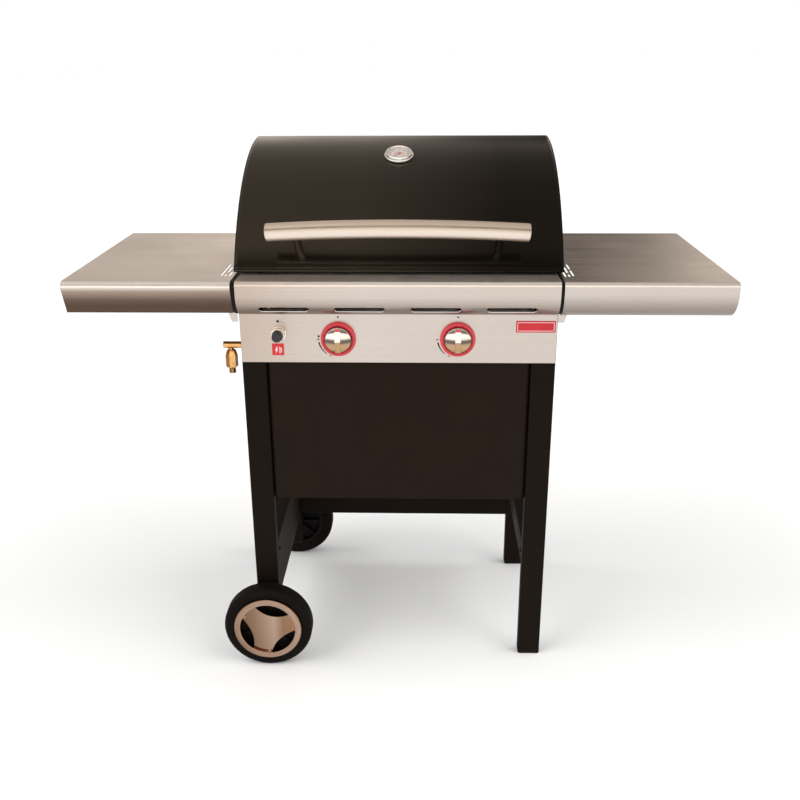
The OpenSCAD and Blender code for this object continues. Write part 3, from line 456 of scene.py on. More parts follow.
MATERIALS = {
    # each stainless look carries its own painted shade and highlight; the left and right ones are lit and
    # shaded copies for the side shelves
    "stainless": brushed("stainless", *STEEL_TONES, anisotropic=0.6, painted_light_by_facing=PANEL_PAINTED_LIGHT, tops=0.86,
                         painted_shade_by_x=PANEL_PAINTED_SHADE_ALONG),
    "left_stainless": brushed("left_stainless", *STEEL_TONES, anisotropic=0.6, painted_light_by_facing=LEFT_PAINTED_LIGHT,
                              tops=0.93, painted_light_by_height=LEFT_PAINTED_LIGHT_BY_HEIGHT),
    "right_stainless": brushed("right_stainless", *STEEL_TONES, anisotropic=0.6, painted_light_by_facing=RIGHT_PAINTED_LIGHT),
    "satin_black": powder_coat("satin_black", (0.0062, 0.0043, 0.0031)),
    "apron_black": powder_coat("apron_black", (0.0105, 0.0062, 0.0042), 0.12),
    "black_enamel": enamel("black_enamel", (0.0046, 0.0036, 0.0026)),
    "chrome": polished("chrome", (0.78, 0.73, 0.68)),
    "bright_chrome": polished("bright_chrome", (0.95, 0.94, 0.92), (0.04, 0.08)),
    # paler, glossier metal than the stainless sheet, for a painted highlight on the slots' rolled edges
    "bright_edge": polished("bright_edge", (0.92, 0.88, 0.84), (0.2, 0.3)),
    # painted reflection by the height part of the normal: brown on faces turned down, a dark band on faces
    # turned forward, full chrome on faces turned up
    "knob_chrome": polished("knob_chrome", (0.9, 0.87, 0.83), (0.05, 0.1), "Z",
                            ((-0.7, (0.4, 0.25, 0.13)), (-0.3, (0.62, 0.41, 0.24)),
                             (-0.14, (0.5, 0.36, 0.25)),
                             (-0.06, (0.16, 0.13, 0.11)), (0.06, (0.2, 0.17, 0.14)),
                             (0.14, (0.9, 0.86, 0.8)),
                             (0.3, grey(1.0)))),
    "brass": turned_brass("brass"),
    "tyre": moulded("tyre", (0.0036, 0.0025, 0.0019), (0.55, 0.72), 0.00012, 500.0, Specular=0.08),
    "wheel_black": moulded("wheel_black", (0.0045, 0.0035, 0.003), (0.45, 0.6), Specular=0.1),
    "cast_iron": cast("cast_iron", (0.05, 0.047, 0.045)),
    "burner_steel": brushed("burner_steel", (0.55, 0.52, 0.48), (0.44, 0.41, 0.37), (500, 4, 500),
                            (0.3, 0.45)),
    "tray_metal": brushed("tray_metal", (0.60, 0.59, 0.57), (0.50, 0.49, 0.47), (60, 60, 60), (0.38, 0.52)),
    "red_gloss": moulded("red_gloss", (0.56, 0.02, 0.035), (0.12, 0.2), 0.000006, 900.0, Coat_Weight=0.5),
    "red_plate": moulded("red_plate", (0.56, 0.028, 0.035), (0.3, 0.4), 0.000008, 700.0, Specular=0.25),
    "black_button": moulded("black_button", (0.010, 0.010, 0.0095), (0.3, 0.45), 0.00002),
    "black_plastic": moulded("black_plastic", (0.0045, 0.0036, 0.003), (0.45, 0.6), Specular=0.12),
    "ceramic": moulded("ceramic", (0.74, 0.70, 0.62), (0.12, 0.25), 0.00001, 400.0, Coat_Weight=0.5),
    "dial_face": moulded("dial_face", (0.42, 0.38, 0.33), (0.4, 0.5), 0.000004),
    "needle": moulded("needle", (0.02, 0.015, 0.015), (0.35, 0.5), 0.000004),
    "glass": clear_glass("glass"),
    "zinc": polished("zinc", (0.56, 0.56, 0.57), (0.2, 0.36)),
    "printed_ink": moulded("printed_ink", (0.012, 0.008, 0.006), (0.4, 0.55), 0.000003, Specular=0.1),
    "white_print": moulded("white_print", (0.86, 0.83, 0.80), (0.3, 0.4), 0.000003),
    "orange_print": moulded("orange_print", (0.72, 0.16, 0.035), (0.35, 0.45), 0.000003),
    "dark_chrome": polished("dark_chrome", (0.56, 0.53, 0.5), (0.1, 0.18)),
    # painted reflection and shade on the hub caps, by the sideways part of the normal: brown all over,
    # lightest just off the middle and darkest towards the left
    "wheel_trim": polished("wheel_trim", (0.86, 0.84, 0.82), (0.1, 0.16), "X",
                           ((-0.25, (0.22, 0.13, 0.08)), (-0.12, (0.31, 0.19, 0.125)),
                            (0.0, (0.46, 0.315, 0.235)),
                            (0.06, (0.53, 0.39, 0.31)), (0.14, (0.34, 0.205, 0.13)),
                            (0.25, (0.42, 0.22, 0.12)))),
    # the handle steel carries painted light by facing: a darker band on faces turned a little up, brighter
    # above and below
    "handle_steel": brushed("handle_steel", (0.72, 0.635, 0.56), (0.65, 0.57, 0.5), (4, 1200, 1200),
                            (0.3, 0.36),
                            painted_light_by_facing=HANDLE_PAINTED_LIGHT),
}

SLOT_OF = {node: obj.material_slots[0].material.name.split(".")[0] for node, obj in NODES.items()}
STAINLESS = ("stainless", "left_stainless", "right_stainless")
for node, obj in NODES.items():
    obj.material_slots[0].material = MATERIALS[SLOT_OF[node]]


# ---------- making pieces, in millimetres in each piece's own place ----------

FACE_Y = -201.1
IGNITER_Y = -201.0
MERGE = 0.000002
COPLANAR = math.radians(0.3)
BEVEL_FROM = math.radians(32)
POLE_REACH = 0.0005
INK_LOW, INK_HIGH = -0.08, 0.06
WHEEL_AXIS = (-269.0, 229.0, 90.0)
KNOB_X, KNOB_Z = 111.0, 698.0
IGNITER = (-222.0, 708.0)
LID_R, LID_Y, LID_Z = 407.0, 185.2, 620.6
LID_HALF = 302.9
LID_FRONT_Z, LID_REAR_Z, LID_REAR_R, LID_SHEET = 817.0, 838.2, 60, 2.0
DIAL_X, DIAL_TILT = -3.0, 21.0
HANDLE_TILT = 35.5
HANDLE_REACH, HANDLE_LENGTH, HANDLE_BOW = 82.0, 466.0, 15.0
HANDLE_R, POST_X, POST_R = 16.5, 185.0, 7.5


def at(x, y, z, *turns):
    """Place of a piece: its origin in millimetres, then turns of (degrees, axis)."""
    matrix = Matrix.Translation((x * MM, y * MM, z * MM))
    for degrees, axis in turns:
        matrix = matrix @ Matrix.Rotation(math.radians(degrees), 4, axis)
    return matrix @ Matrix.Scale(MM, 4)


def on_face(x, z):
    """Place on the control panel's face, +Z towards the cook and +Y up."""
    return at(x, FACE_Y, z, (90, "X"))


def on_wheel(side):
    """Place at a wheel's middle, +Z outwards; side is -1 in front and 1 behind."""
    return at(WHEEL_AXIS[0], side * WHEEL_AXIS[1], WHEEL_AXIS[2], (90 if side < 0 else -90, "X"))


def add_grain(mesh):
    """UV map whose first axis runs across the brushing, for surfaces brushed along X."""
    layer = mesh.uv_layers.new(name="grain")
    for loop in mesh.loops:
        x, y, z = mesh.vertices[loop.vertex_index].co
        layer.data[loop.index].uv = (y - z, x)


def piece(name, bm, body, slot, place=None, replaces=(), look=None, smooth=35, bevel=0.0, segments=2):
    """Turns a bmesh into a finished piece that rides on a CAD body."""
    if place is not None:
        bmesh.ops.transform(bm, matrix=place, verts=bm.verts)
    bmesh.ops.remove_doubles(bm, verts=bm.verts, dist=MERGE)
    bmesh.ops.recalc_face_normals(bm, faces=bm.faces)
    mesh = bpy.data.meshes.new(name)
    bm.to_mesh(mesh)
    bm.free()
    mesh.polygons.foreach_set("use_smooth", [True] * len(mesh.polygons))
    mesh.set_sharp_from_angle(angle=math.radians(smooth))
    mesh.materials.append(MATERIALS[look or slot])
    if (look or slot) in STAINLESS:
        add_grain(mesh)
    obj = bpy.data.objects.new(name, mesh)
    bpy.context.scene.collection.objects.link(obj)
    if bevel:
        round_over = obj.modifiers.new("rounded_edges", "BEVEL")
        round_over.width = bevel * MM
        round_over.segments = segments
        round_over.limit_method = "ANGLE"
        round_over.angle_limit = BEVEL_FROM
        round_over.use_clamp_overlap = False
        round_over.harden_normals = True
    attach(obj, body)
    if replaces:
        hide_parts(*replaces)
    return obj


def refined(node, name, bevel, segments=2, look=None, smooth=32, axis=None):
    """A CAD node's shape with its flat faces joined up and its edges rounded over.

    axis is the (x, z) of a dome's pole, whose vertices are taken out because they shade badly.
    """
    bm = bmesh.new()
    bm.from_mesh(NODES[node].data)
    bmesh.ops.remove_doubles(bm, verts=bm.verts, dist=MERGE)
    bmesh.ops.dissolve_limit(bm, angle_limit=COPLANAR, verts=bm.verts, edges=bm.edges)
    if axis:
        pole = [v for v in bm.verts
                if math.hypot(v.co.x - axis[0] * MM, v.co.z - axis[1] * MM) < POLE_REACH]
        bmesh.ops.dissolve_verts(bm, verts=pole)
    return piece(name, bm, BODY_OF[node], SLOT_OF[node], None, (node,), look, smooth, bevel, segments)


def lathe(bm, outline, steps=96):
    """Closed (radius, height) outline turned about +Z."""
    rings = []
    for k in range(steps):
        turn = 2 * math.pi * k / steps
        rings.append([bm.verts.new((r * math.cos(turn), r * math.sin(turn), u)) for r, u in outline])
    for k in range(steps):
        here, after = rings[k], rings[(k + 1) % steps]
        for i in range(len(outline)):
            j = (i + 1) % len(outline)
            bm.faces.new((here[i], here[j], after[j], after[i]))
    return bm


def prism(bm, outline, low, high):
    """Straight solid from an (x, y) outline, between two heights."""
    base = [bm.verts.new((x, y, low)) for x, y in outline]
    top = [bm.verts.new((x, y, high)) for x, y in outline]
    bm.faces.new(base[::-1])
    bm.faces.new(top)
    for i in range(len(outline)):
        j = (i + 1) % len(outline)
        bm.faces.new((base[i], base[j], top[j], top[i]))
    return bm


def join(bm, part, place):
    """Moves a second bmesh to its place and adds it to the first."""
    bmesh.ops.transform(part, matrix=place, verts=part.verts)
    spare = bpy.data.meshes.new("spare")
    part.to_mesh(spare)
    part.free()
    bm.from_mesh(spare)
    bpy.data.meshes.remove(spare)


def loft(bm, rings):
    """Faces between closed rings of vertices that follow one another."""
    count = len(rings[0])
    for here, after in zip(rings, rings[1:]):
        for i in range(count):
            j = (i + 1) % count
            bm.faces.new((here[i], here[j], after[j], after[i]))


def arc(r, start, end, steps, cx=0.0, cy=0.0):
    """Points on a circle, between two angles in degrees."""
    turns = [math.radians(start + (end - start) * k / steps) for k in range(steps + 1)]
    return [(cx + r * math.cos(t), cy + r * math.sin(t)) for t in turns]


def rounded(half_x, half_y, r, steps=6):
    """Rectangle with round corners, about the origin."""
    corners = ((1, 1, 0), (-1, 1, 90), (-1, -1, 180), (1, -1, 270))
    return [p for sx, sy, a in corners
            for p in arc(r, a, a + 90, steps, sx * (half_x - r), sy * (half_y - r))]


def band(r_in, r_out, start, end, steps=24, taper=1.0):
    """Curved strip between two radii; taper narrows its far end."""
    middle, half = (r_in + r_out) / 2, (r_out - r_in) / 2
    points = []
    for side in (1, -1):
        order = range(steps + 1) if side > 0 else range(steps, -1, -1)
        for k in order:
            t = math.radians(start + (end - start) * k / steps)
            r = middle + side * half * (1 + (taper - 1) * k / steps)
            points.append((r * math.cos(t), r * math.sin(t)))
    return points


# ---------- frame, firebox and sheet parts ----------

for node, bevel, segments in (
        ("leg_front_left", 1.3, 3), ("leg_front_right", 1.3, 3), ("leg_rear_left", 1.3, 3),
        ("leg_rear_right", 1.3, 3), ("leg_caps", 0.9, 2), ("side_rail_left", 0.5, 2),
        ("side_rail_right", 0.5, 2), ("rear_crossbar", 1.3, 3),
        ("axle_nuts", 0.7, 2), ("axle_washers", 0.4, 2), ("wheel_axle", 0.6, 2),
        ("firebox", 0.6, 2), ("tray_rails", 0.4, 2), ("drip_tray", 0.45, 2), ("heat_plates", 0.4, 2),
        ("electrodes", 0.5, 2), ("grate_left", 1.6, 3), ("grate_right", 1.6, 3), ("hinge_brackets", 0.5, 2),
        ("hinge_pins", 0.9, 3), ("lid_end_left", 0.7, 3), ("lid_end_right", 0.7, 3),
        ("handle_screws", 0.5, 2), ("control_panel", 0.45, 2), ("panel_seals", 0.4, 2),
        ("gas_valves", 0.8, 2),
        ("manifold", 0.9, 3),
        ("shelf_brackets", 0.6, 2), ("collar_left", 0.4, 2), ("collar_right", 0.4, 2)):
    refined(node, node + "_finished", bevel, segments)
refined("frame_screws", "frame_screws_finished", 0.6, 2, "satin_black")
refined("front_apron", "front_apron_finished", 0.4, 2, "apron_black")
# the side shelves take the painted-light copies of the stainless
refined("side_shelf_left", "side_shelf_left_finished", 0.45, 2, "left_stainless")
refined("side_shelf_right", "side_shelf_right_finished", 0.45, 2, "right_stainless")
# the hub caps take the wheel trim's painted reflection and shade
for node in ("hub_cap_front", "hub_cap_rear"):
    refined(node, node + "_finished", 0.0, look="wheel_trim", smooth=25,
            axis=(WHEEL_AXIS[0], WHEEL_AXIS[2]))


# ---------- wheels ----------

def tyre_outline():
    """Half round shoulders, three tread grooves and two fine ridges on each sidewall."""
    half, tread, shoulder, inner = 18.0, 90.0, 7.0, 66.0
    ridge = ((71.5, 0.0), (72.0, 0.5), (72.8, 0.5), (73.3, 0.0), (78.5, 0.0), (79.0, 0.45), (79.8, 0.45),
             (80.3, 0.0))
    side = [(r, half - 1.0 + h) for r, h in ridge]
    side = [(inner, half - 2.4), (inner + 1.2, half - 1.3)] + side
    corner = [(tread - shoulder + x, half - 1.0 - shoulder + y) for x, y in arc(shoulder, 80, 4, 10)]
    upper = side + corner
    groove = [(tread, 7.4), (88.7, 7.0), (88.7, 5.4), (tread, 5.0), (tread, 1.2), (88.7, 0.8), (88.7, -0.8),
              (tread, -1.2), (tread, -5.0), (88.7, -5.4), (88.7, -7.0), (tread, -7.4)]
    return upper + groove + [(r, -u) for r, u in reversed(upper)]


def wheel(side, name):
    bm = lathe(bmesh.new(), tyre_outline(), 128)
    piece("tyre_" + name + "_moulded", bm, name + "_wheel", SLOT_OF["tyre_" + name], on_wheel(side),
          ("tyre_" + name,), smooth=28)
    barrel = [(5.05, -29), (12.5, -29), (13.4, -28), (14.0, -9), (16.5, -4.2), (56.5, -3), (58, -4.5),
              (58, -15.4),
              (58.8, -16), (65.4, -16), (66, -15.4), (66, 15.4), (65.4, 16), (58.8, 16), (58, 15.4),
              (58, 4.5),
              (56.5, 3), (16.5, 4.2), (14.0, 7), (13.4, 11.2), (12.6, 12), (5.05, 12)]
    bm = lathe(bmesh.new(), barrel, 96)
    for k in range(9):
        turn = Matrix.Rotation(math.radians(40 * k), 4, "Z")
        for low, high in ((-13.0, -2.5), (2.5, 9.5)):
            rib = prism(bmesh.new(), [(13.2, -1.4), (58.6, -1.1), (58.6, 1.1), (13.2, 1.4)], low, high)
            join(bm, rib, turn)
    piece("rim_" + name + "_moulded", bm, name + "_wheel", SLOT_OF["rim_" + name], on_wheel(side),
          ("rim_" + name,), bevel=0.4)


wheel(-1, "front")
wheel(1, "rear")


# ---------- lid ----------

def lid_shell():
    """Curved sheet with a hem line above its front edge."""
    start = math.degrees(math.asin((LID_FRONT_Z - LID_Z) / LID_R))
    profile = []
    for k in range(121):
        turn = start + (90 - start) * k / 120
        s = math.radians(turn - start) * LID_R
        r = LID_R - (0.7 if 7.5 < s < 11.5 else 0.0)
        profile.append((LID_Y - r * math.cos(math.radians(turn)), LID_Z + r * math.sin(math.radians(turn))))
    back_z = LID_Z + LID_R - LID_REAR_R
    for b in range(3, 91, 3):
        turn = math.radians(b)
        profile.append((LID_Y + LID_REAR_R * math.sin(turn), back_z + LID_REAR_R * math.cos(turn)))
    profile += [(LID_Y + LID_REAR_R, z) for z in (930.0, 890.0, 860.0, LID_REAR_Z)]
    bm = bmesh.new()
    columns = (-LID_HALF, 5 - LID_HALF, -200.0, -100.0, 0.0, 100.0, 200.0, LID_HALF - 5, LID_HALF)
    grid = [[bm.verts.new((x, y, z)) for x in columns] for y, z in profile]
    for below, above in zip(grid, grid[1:]):
        for i in range(len(columns) - 1):
            bm.faces.new((below[i], below[i + 1], above[i + 1], above[i]))
    obj = piece("lid_shell_formed", bm, "lid", SLOT_OF["lid_shell"], at(0, 0, 0), ("lid_shell",), smooth=50)
    sheet = obj.modifiers.new("sheet", "SOLIDIFY")
    sheet.thickness = LID_SHEET * MM
    sheet.offset = 1.0 if obj.data.polygons[0].normal.y > 0 else -1.0


lid_shell()


def on_handle():
    """Place at the foot of the handle: +X out from the lid, +Y to the cook's right."""
    turn = math.radians(HANDLE_TILT)
    return at(0, LID_Y - LID_R * math.cos(turn), LID_Z + LID_R * math.sin(turn), (-HANDLE_TILT, "X"),
              (-90, "Z"))


BOW_R = ((HANDLE_LENGTH / 2) ** 2 + HANDLE_BOW ** 2) / (2 * HANDLE_BOW)
BOW_HALF = math.degrees(math.asin(HANDLE_LENGTH / 2 / BOW_R))


def handle():
    bm = bmesh.new()
    centre = HANDLE_REACH - BOW_R
    rings = []
    for k in range(73):
        turn = math.radians(BOW_HALF * (2 * k / 72 - 1))
        ring = []
        for x, z in arc(HANDLE_R, 0, 360, 48)[:-1]:
            r = BOW_R + x
            ring.append(bm.verts.new((centre + r * math.cos(turn), r * math.sin(turn), z)))
        rings.append(ring)
    loft(bm, rings)
    bm.faces.new(rings[0])
    bm.faces.new(rings[-1][::-1])
    piece("handle_tube_bowed", bm, "lid", SLOT_OF["handle_tube"], on_handle(), ("handle_tube",),
          "handle_steel")

    bm = bmesh.new()
    cap = [(0, -9), (14.6, -9), (14.6, -0.2), (15.9, -0.2), (15.9, 0.35), (16.5, 0.35), (16.5, 1.0),
           (16.2, 1.5),
           (15.6, 1.85), (13.5, 2.0), (6, 2.0), (0, 2.0)]
    for side in (-1, 1):
        end = lathe(bmesh.new(), cap, 64)
        turn = (Matrix.Translation((centre, 0, 0)) @ Matrix.Rotation(math.radians(side * BOW_HALF), 4, "Z")
                @ Matrix.Translation((BOW_R, 0, 0)) @ Matrix.Rotation(math.radians(-90 * side), 4, "X"))
        join(bm, end, turn)
    piece("handle_end_caps_turned", bm, "lid", SLOT_OF["handle_end_caps"], on_handle(),
          ("handle_end_caps",),
          "handle_steel")

    drop = BOW_R - math.sqrt(BOW_R ** 2 - POST_X ** 2)
    far = HANDLE_REACH - drop - HANDLE_R + 3
    post = [(0, 0.4), (POST_R - 0.5, 0.4), (POST_R, 0.9), (POST_R, far - 6), (POST_R + 0.9, far - 3),
            (POST_R + 0.9, far), (0, far)]
    bm = bmesh.new()
    for side in (-1, 1):
        turn = Matrix.Translation((0, side * POST_X, 0)) @ Matrix.Rotation(math.radians(90), 4, "Y")
        join(bm, lathe(bmesh.new(), post, 48), turn)
    piece("handle_posts_turned", bm, "lid", SLOT_OF["handle_posts"], on_handle(), ("handle_posts",),
          "dark_chrome",
          smooth=30)


handle()


# ---------- lid thermometer ----------

def on_dial():
    turn = math.radians(DIAL_TILT)
    return at(DIAL_X, LID_Y - LID_R * math.sin(turn), LID_Z + LID_R * math.cos(turn), (DIAL_TILT, "X"))


def thermometer():
    case = [(0, 0.1), (28.0, 0.1), (28.7, 0.5), (29.0, 1.2), (29.0, 4.4), (28.7, 5.4), (28.0, 6.2),
            (27.2, 6.5),
            (26.7, 6.8), (26.6, 7.4), (26.6, 8.6), (26.3, 9.8), (25.6, 11.0), (24.7, 11.7), (23.6, 12.0),
            (22.8, 11.8), (22.3, 11.2), (22.1, 10.4), (22.0, 5.0), (0, 5.0)]
    bm = lathe(bmesh.new(), case, 128)
    lathe(bm, [(0, -38), (3, -38), (3, 0.3), (0, 0.3)], 32)
    lathe(bm, [(0, -40), (1.6, -40), (2.6, -39.4), (3, -38), (0, -38)], 32)
    prism(bm, arc(9.8, 0, 300, 5), -8.4, -2.4)
    piece("thermometer_case_turned", bm, "lid", SLOT_OF["thermometer_case"], on_dial(),
          ("thermometer_case",),
          "bright_chrome", 30)
    piece("thermometer_dial_plate", lathe(bmesh.new(), [(0, 5.1), (21.7, 5.1), (21.7, 5.6), (0, 5.6)], 96),
          "lid",
          SLOT_OF["thermometer_dial"], on_dial(), ("thermometer_dial",))
    zones = (("warm", 225, 160, "orange_print"), ("cooking", 158, 60, "red_plate"),
             ("hot", 58, -45, "orange_print"))
    for name, start, end, look in zones:
        bm = prism(bmesh.new(), band(6.6, 10.6, start, end, 32), 5.62, 5.72)
        piece("dial_zone_" + name, bm, "lid", SLOT_OF["thermometer_dial"], on_dial(), look=look)
    bm = bmesh.new()
    for k in range(31):
        turn = 225 - 9 * k
        inner = 15.2 if k % 5 == 0 else 16.6
        width = 0.9 if k % 5 == 0 else 0.5
        sweep = math.degrees(width / 2 / 17)
        prism(bm, band(inner, 18.6, turn + sweep, turn - sweep, 2), 5.62, 5.74)
    piece("dial_ticks", bm, "lid", SLOT_OF["thermometer_dial"], on_dial(), look="printed_ink")
    bm = lathe(bmesh.new(), [(0, 9.0), (21.9, 9.0), (21.9, 9.9), (16, 10.6), (8, 11.0), (0, 11.1)], 96)
    piece("thermometer_glass_domed", bm, "lid", SLOT_OF["thermometer_glass"], on_dial(),
          ("thermometer_glass",),
          smooth=60)
    bm = lathe(bmesh.new(), [(0, 6.4), (2.3, 6.4), (2.6, 6.8), (2.6, 7.5), (2.0, 8.0), (0, 8.1)], 32)
    hand = prism(bmesh.new(), [(-1.5, -6), (1.5, -6), (0.9, 0), (0.35, 16.8), (-0.35, 16.8), (-0.9, 0)],
                 6.7, 7.3)
    join(bm, hand, Matrix.Identity(4))
    bmesh.ops.rotate(bm, cent=(0, 0, 0), matrix=Matrix.Rotation(math.radians(135), 3, "Z"), verts=bm.verts)
    piece("thermometer_needle_cut", bm, "needle", SLOT_OF["thermometer_needle"], on_dial(),
          ("thermometer_needle",), bevel=0.12)


thermometer()


# ---------- control panel ----------

def knob(side, name):
    dome = [(0, 6.3), (23.8, 6.3), (24.4, 6.8), (24.5, 7.6), (24.5, 12.9)]
    dome += [(38 * math.sin(math.radians(a)), 22.2 - 38 + 38 * math.cos(math.radians(a)))
             for a in (39.7, 37, 33, 29, 25, 21, 17, 13, 9, 5, 2, 0)]
    bm = lathe(bmesh.new(), dome, 128)
    # the dome and fin carry the knob chrome's painted reflection
    piece(name + "_dome", bm, BODY_OF[name], SLOT_OF[name], on_face(side * KNOB_X, KNOB_Z), (name,),
          "knob_chrome",
          40)
    low, edge, peak, reach = 8.0, 17.2, 26.2, 23.0
    bm = bmesh.new()
    outline = [(-reach, low), (-reach, edge), (0, peak), (reach, edge), (reach, low)]
    left = [bm.verts.new((-5.8 + (0.5 if u > low else 0), y, u)) for y, u in outline]
    right = [bm.verts.new((5.8 - (0.5 if u > low else 0), y, u)) for y, u in outline]
    bm.faces.new(left)
    bm.faces.new(right[::-1])
    for i in range(5):
        j = (i + 1) % 5
        bm.faces.new((left[i], right[i], right[j], left[j]))
    piece(name + "_fin", bm, BODY_OF[name], SLOT_OF[name], on_face(side * KNOB_X, KNOB_Z),
          look="knob_chrome",
          bevel=0.55, segments=3, smooth=25)
    bm = bmesh.new()
    slope = (peak - edge) / reach
    places = [(-5.0, 18.2), (5.0, 18.2), (5.0, 22.6), (-5.0, 22.6)]
    base = [bm.verts.new((x, y, peak - slope * y - 0.6)) for x, y in places]
    top = [bm.verts.new((x, y, peak - slope * y + 0.18)) for x, y in places]
    bm.faces.new(base[::-1])
    bm.faces.new(top)
    for i in range(4):
        j = (i + 1) % 4
        bm.faces.new((base[i], base[j], top[j], top[i]))
    piece(name + "_pointer", bm, BODY_OF[name], SLOT_OF["knob_bezels"], on_face(side * KNOB_X, KNOB_Z),
          look="red_gloss",
          bevel=0.15)


def bezels_and_marks():
    outline = [(9, 0), (33, 0), (33, 4.6), (32.6, 6.0), (31.6, 7.2), (30.2, 7.9), (29.0, 8.0), (28.3, 7.9),
               (27.9, 7.3), (27.5, 7.1), (27.1, 7.3), (26.8, 7.8), (26.2, 7.7), (25.7, 7.2), (25.5, 6.4),
               (25.5, 1.2),
               (9, 1.2)]
    bm = bmesh.new()
    for side in (-1, 1):
        join(bm, lathe(bmesh.new(), outline, 128), Matrix.Translation((side * KNOB_X, 0, 0)))
    piece("knob_bezels_grooved", bm, "trolley", SLOT_OF["knob_bezels"], on_face(0, KNOB_Z),
          ("knob_bezels",),
          smooth=30)
    for side, name in ((-1, "left"), (1, "right")):
        bm = prism(bmesh.new(), band(36.0, 38.8, 191, 233, 24, 0.45), INK_LOW, INK_HIGH)
        prism(bm, band(36.6, 38.4, 242, 247, 4), INK_LOW, INK_HIGH)
        prism(bm, [(x - 37.6, y - 1.6) for x, y in rounded(2.9, 0.75, 0.7, 3)], INK_LOW, INK_HIGH)
        prism(bm, arc(1.7, 0, 340, 17, 0, 41.5), INK_LOW, INK_HIGH)
        if side < 0:
            prism(bm, [(-38.4, 2.2), (-36.9, 1.6), (-35.2, 2.4), (-34.8, 4.2), (-36.0, 5.4), (-36.8, 7.2),
                       (-38.2, 5.4), (-38.9, 3.8)], INK_LOW, INK_HIGH)
        piece("heat_marks_" + name, bm, "trolley", SLOT_OF["control_panel"], on_face(side * KNOB_X, KNOB_Z),
              look="printed_ink")


knob(-1, "knob_left")
knob(1, "knob_right")
bezels_and_marks()


def vent_beads():
    """Bright rolled edge along the lower side of each slot in the lip: a real rolled shape, made brighter
    with a paler metal than the sheet as a painted highlight.
    """
    bm = bmesh.new()
    for x0, x1 in ((-254, -162), (-116, -23.5), (23.5, 116), (162, 254)):
        rings = []
        for k in range(25):
            x = x0 + 1.2 + (x1 - x0 - 2.4) * k / 24
            end = max(0.0, 4.0 - (x - x0 - 1.2), 4.0 - (x1 - 1.2 - x))
            lift = 4.0 - math.sqrt(max(0.0, 16.0 - end * end))
            rings.append([bm.verts.new((x, -213.9 - 0.9 * y - 0.75 * lift, 753.3 + 0.9 * z + lift))
                          for y, z in arc(1.0, 0, 360, 10)[:-1]])
        loft(bm, rings)
        bm.faces.new(rings[0][::-1])
        bm.faces.new(rings[-1])
    piece("vent_beads", bm, "trolley", SLOT_OF["control_panel"], at(0, 0, 0), look="bright_edge", smooth=80)


vent_beads()


def igniter():
    x, z = IGNITER
    barrel = [(9.5, -23.9), (9.5, 18.6), (9.9, 19.3), (10.6, 19.4), (11.0, 18.9), (11.0, 13.2),
              (12.0, 12.9),
              (12.4, 12.3), (12.4, 5.4), (12.9, 5.0), (13.7, 4.9), (14.3, 4.4), (14.5, 3.6), (14.5, 0.2),
              (11.0, 0.1),
              (11.0, -36), (0, -36), (0, -24), (9.5, -24)]
    bm = lathe(bmesh.new(), barrel, 96)
    lathe(bm, [(11.05, -6.5), (15, -6.5), (15, -1.8), (11.05, -1.8)], 6)
    piece("igniter_body_turned", bm, "trolley", SLOT_OF["igniter_body"], at(x, IGNITER_Y, z, (90, "X")),
          ("igniter_body",), smooth=30)
    button = [(0, -12), (9.2, -12), (9.2, 29.6), (8.9, 30.5), (8.2, 31.0), (6.6, 31.0), (5.8, 30.6),
              (0, 30.2)]
    piece("igniter_button_moulded", lathe(bmesh.new(), button, 96), "igniter_button",
          SLOT_OF["igniter_button"],
          at(x, IGNITER_Y, z, (90, "X")), ("igniter_button",), smooth=30)
    bm = prism(bmesh.new(), arc(2.4, 0, 345, 23, -1.0, 23.0), INK_LOW, INK_HIGH)
    piece("igniter_mark", bm, "trolley", SLOT_OF["control_panel"], on_face(x, z), look="printed_ink")


igniter()


def plate_size(node):
    """Half width, half height and place of a thin plate on the panel's face."""
    low, high = (Vector(c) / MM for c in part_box(node))
    place = on_face((low.x + high.x) / 2, (low.z + high.z) / 2)
    return (high.x - low.x) / 2, (high.z - low.z) / 2, place


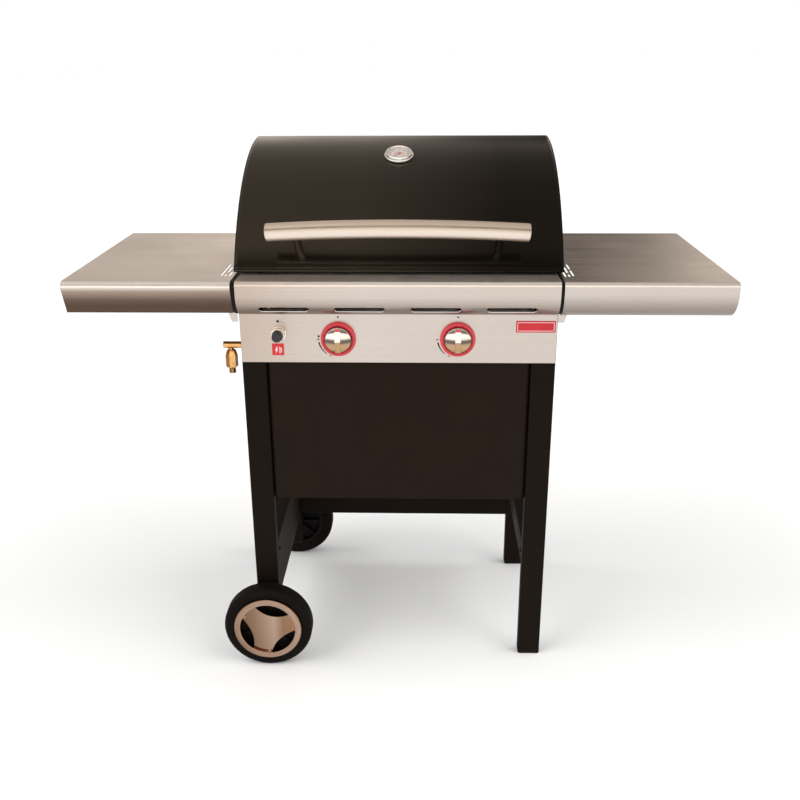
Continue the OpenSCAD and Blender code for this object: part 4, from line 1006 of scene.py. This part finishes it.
def plates():
    """Plain badge with a raised border, and the igniter's label with a spark sign."""
    half_x, half_z, place = plate_size("badge_plate")
    piece("badge_plate_rounded", prism(bmesh.new(), rounded(half_x, half_z, 1.6), 0.0, 1.0), "trolley",
          SLOT_OF["badge_plate"], place, ("badge_plate",), bevel=0.25)
    bm = bmesh.new()
    for w, h, y in ((half_x - 3, 0.45, half_z - 3), (half_x - 3, 0.45, 3 - half_z)):
        prism(bm, [(px, py + y) for px, py in rounded(w, h, 0.4, 3)], 0.95, 1.15)
    for x in (3 - half_x, half_x - 3):
        prism(bm, [(px + x, py) for px, py in rounded(0.45, half_z - 3, 0.4, 3)], 0.95, 1.15)
    piece("badge_border", bm, "trolley", SLOT_OF["badge_plate"], place, look="white_print")
    half_x, half_z, place = plate_size("igniter_label")
    piece("igniter_label_cut", prism(bmesh.new(), rounded(half_x, half_z, 0.8), 0.0, 0.4), "trolley",
          SLOT_OF["igniter_label"], place, ("igniter_label",))
    bm = prism(bmesh.new(), [(-3.2, 6.4), (-6.6, -0.8), (-4.2, -0.6), (-5.4, -6.8), (-1.0, 1.4),
                             (-3.4, 1.2),
                             (-1.6, 6.4)], 0.35, 0.5)
    prism(bm, band(5.2, 6.4, -80, 80, 20), 0.35, 0.5)
    prism(bm, band(2.4, 3.5, -80, 80, 14), 0.35, 0.5)
    bmesh.ops.translate(bm, vec=(0.8, -1.4, 0), verts=bm.verts)
    piece("igniter_spark_sign", bm, "trolley", SLOT_OF["igniter_label"], place, look="white_print")


plates()


def gas_inlet():
    """Pipe neck, chamfered hexagon and a stub with fine thread rings."""
    low, high = (Vector(c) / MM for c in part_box("gas_inlet"))
    place = at((low.x + high.x) / 2, (low.y + high.y) / 2, 0)
    stub_low = low.z
    hex_low, hex_top = stub_low + 13, stub_low + 43
    bm = bmesh.new()
    lathe(bm, [(3, hex_top - 0.5), (5, hex_top - 0.5), (5, hex_top + 5), (5.6, hex_top + 6),
               (5.6, hex_top + 8.2),
               (3, hex_top + 8.2)], 48)
    levels = [(8.4, -2.6), (12.0, 0.8), (12.0, 22.0), (8.6, 32.6), (8.0, 33.4)]
    loops = [[bm.verts.new((x, y, hex_low + h)) for x, y in arc(r, 19, 319, 5)] for r, h in levels]
    bm.faces.new(loops[0][::-1])
    bm.faces.new(loops[-1])
    loft(bm, loops)
    thread = [(3, stub_low), (5.6, stub_low), (6.1, stub_low + 0.5)]
    for k in range(7):
        u = stub_low + 0.9 + 1.3 * k
        thread += [(6.45, u), (6.45, u + 0.35), (5.75, u + 0.75), (5.75, u + 0.95)]
    thread += [(6.4, stub_low + 10.4), (8.0, stub_low + 12.0), (8.0, stub_low + 13.4), (3, stub_low + 13.4)]
    lathe(bm, thread, 64)
    piece("gas_inlet_turned", bm, "trolley", SLOT_OF["gas_inlet"], place, ("gas_inlet",), bevel=0.5,
          smooth=28)


gas_inlet()

for node, obj in NODES.items():
    if SLOT_OF[node] in STAINLESS:
        add_grain(obj.data)
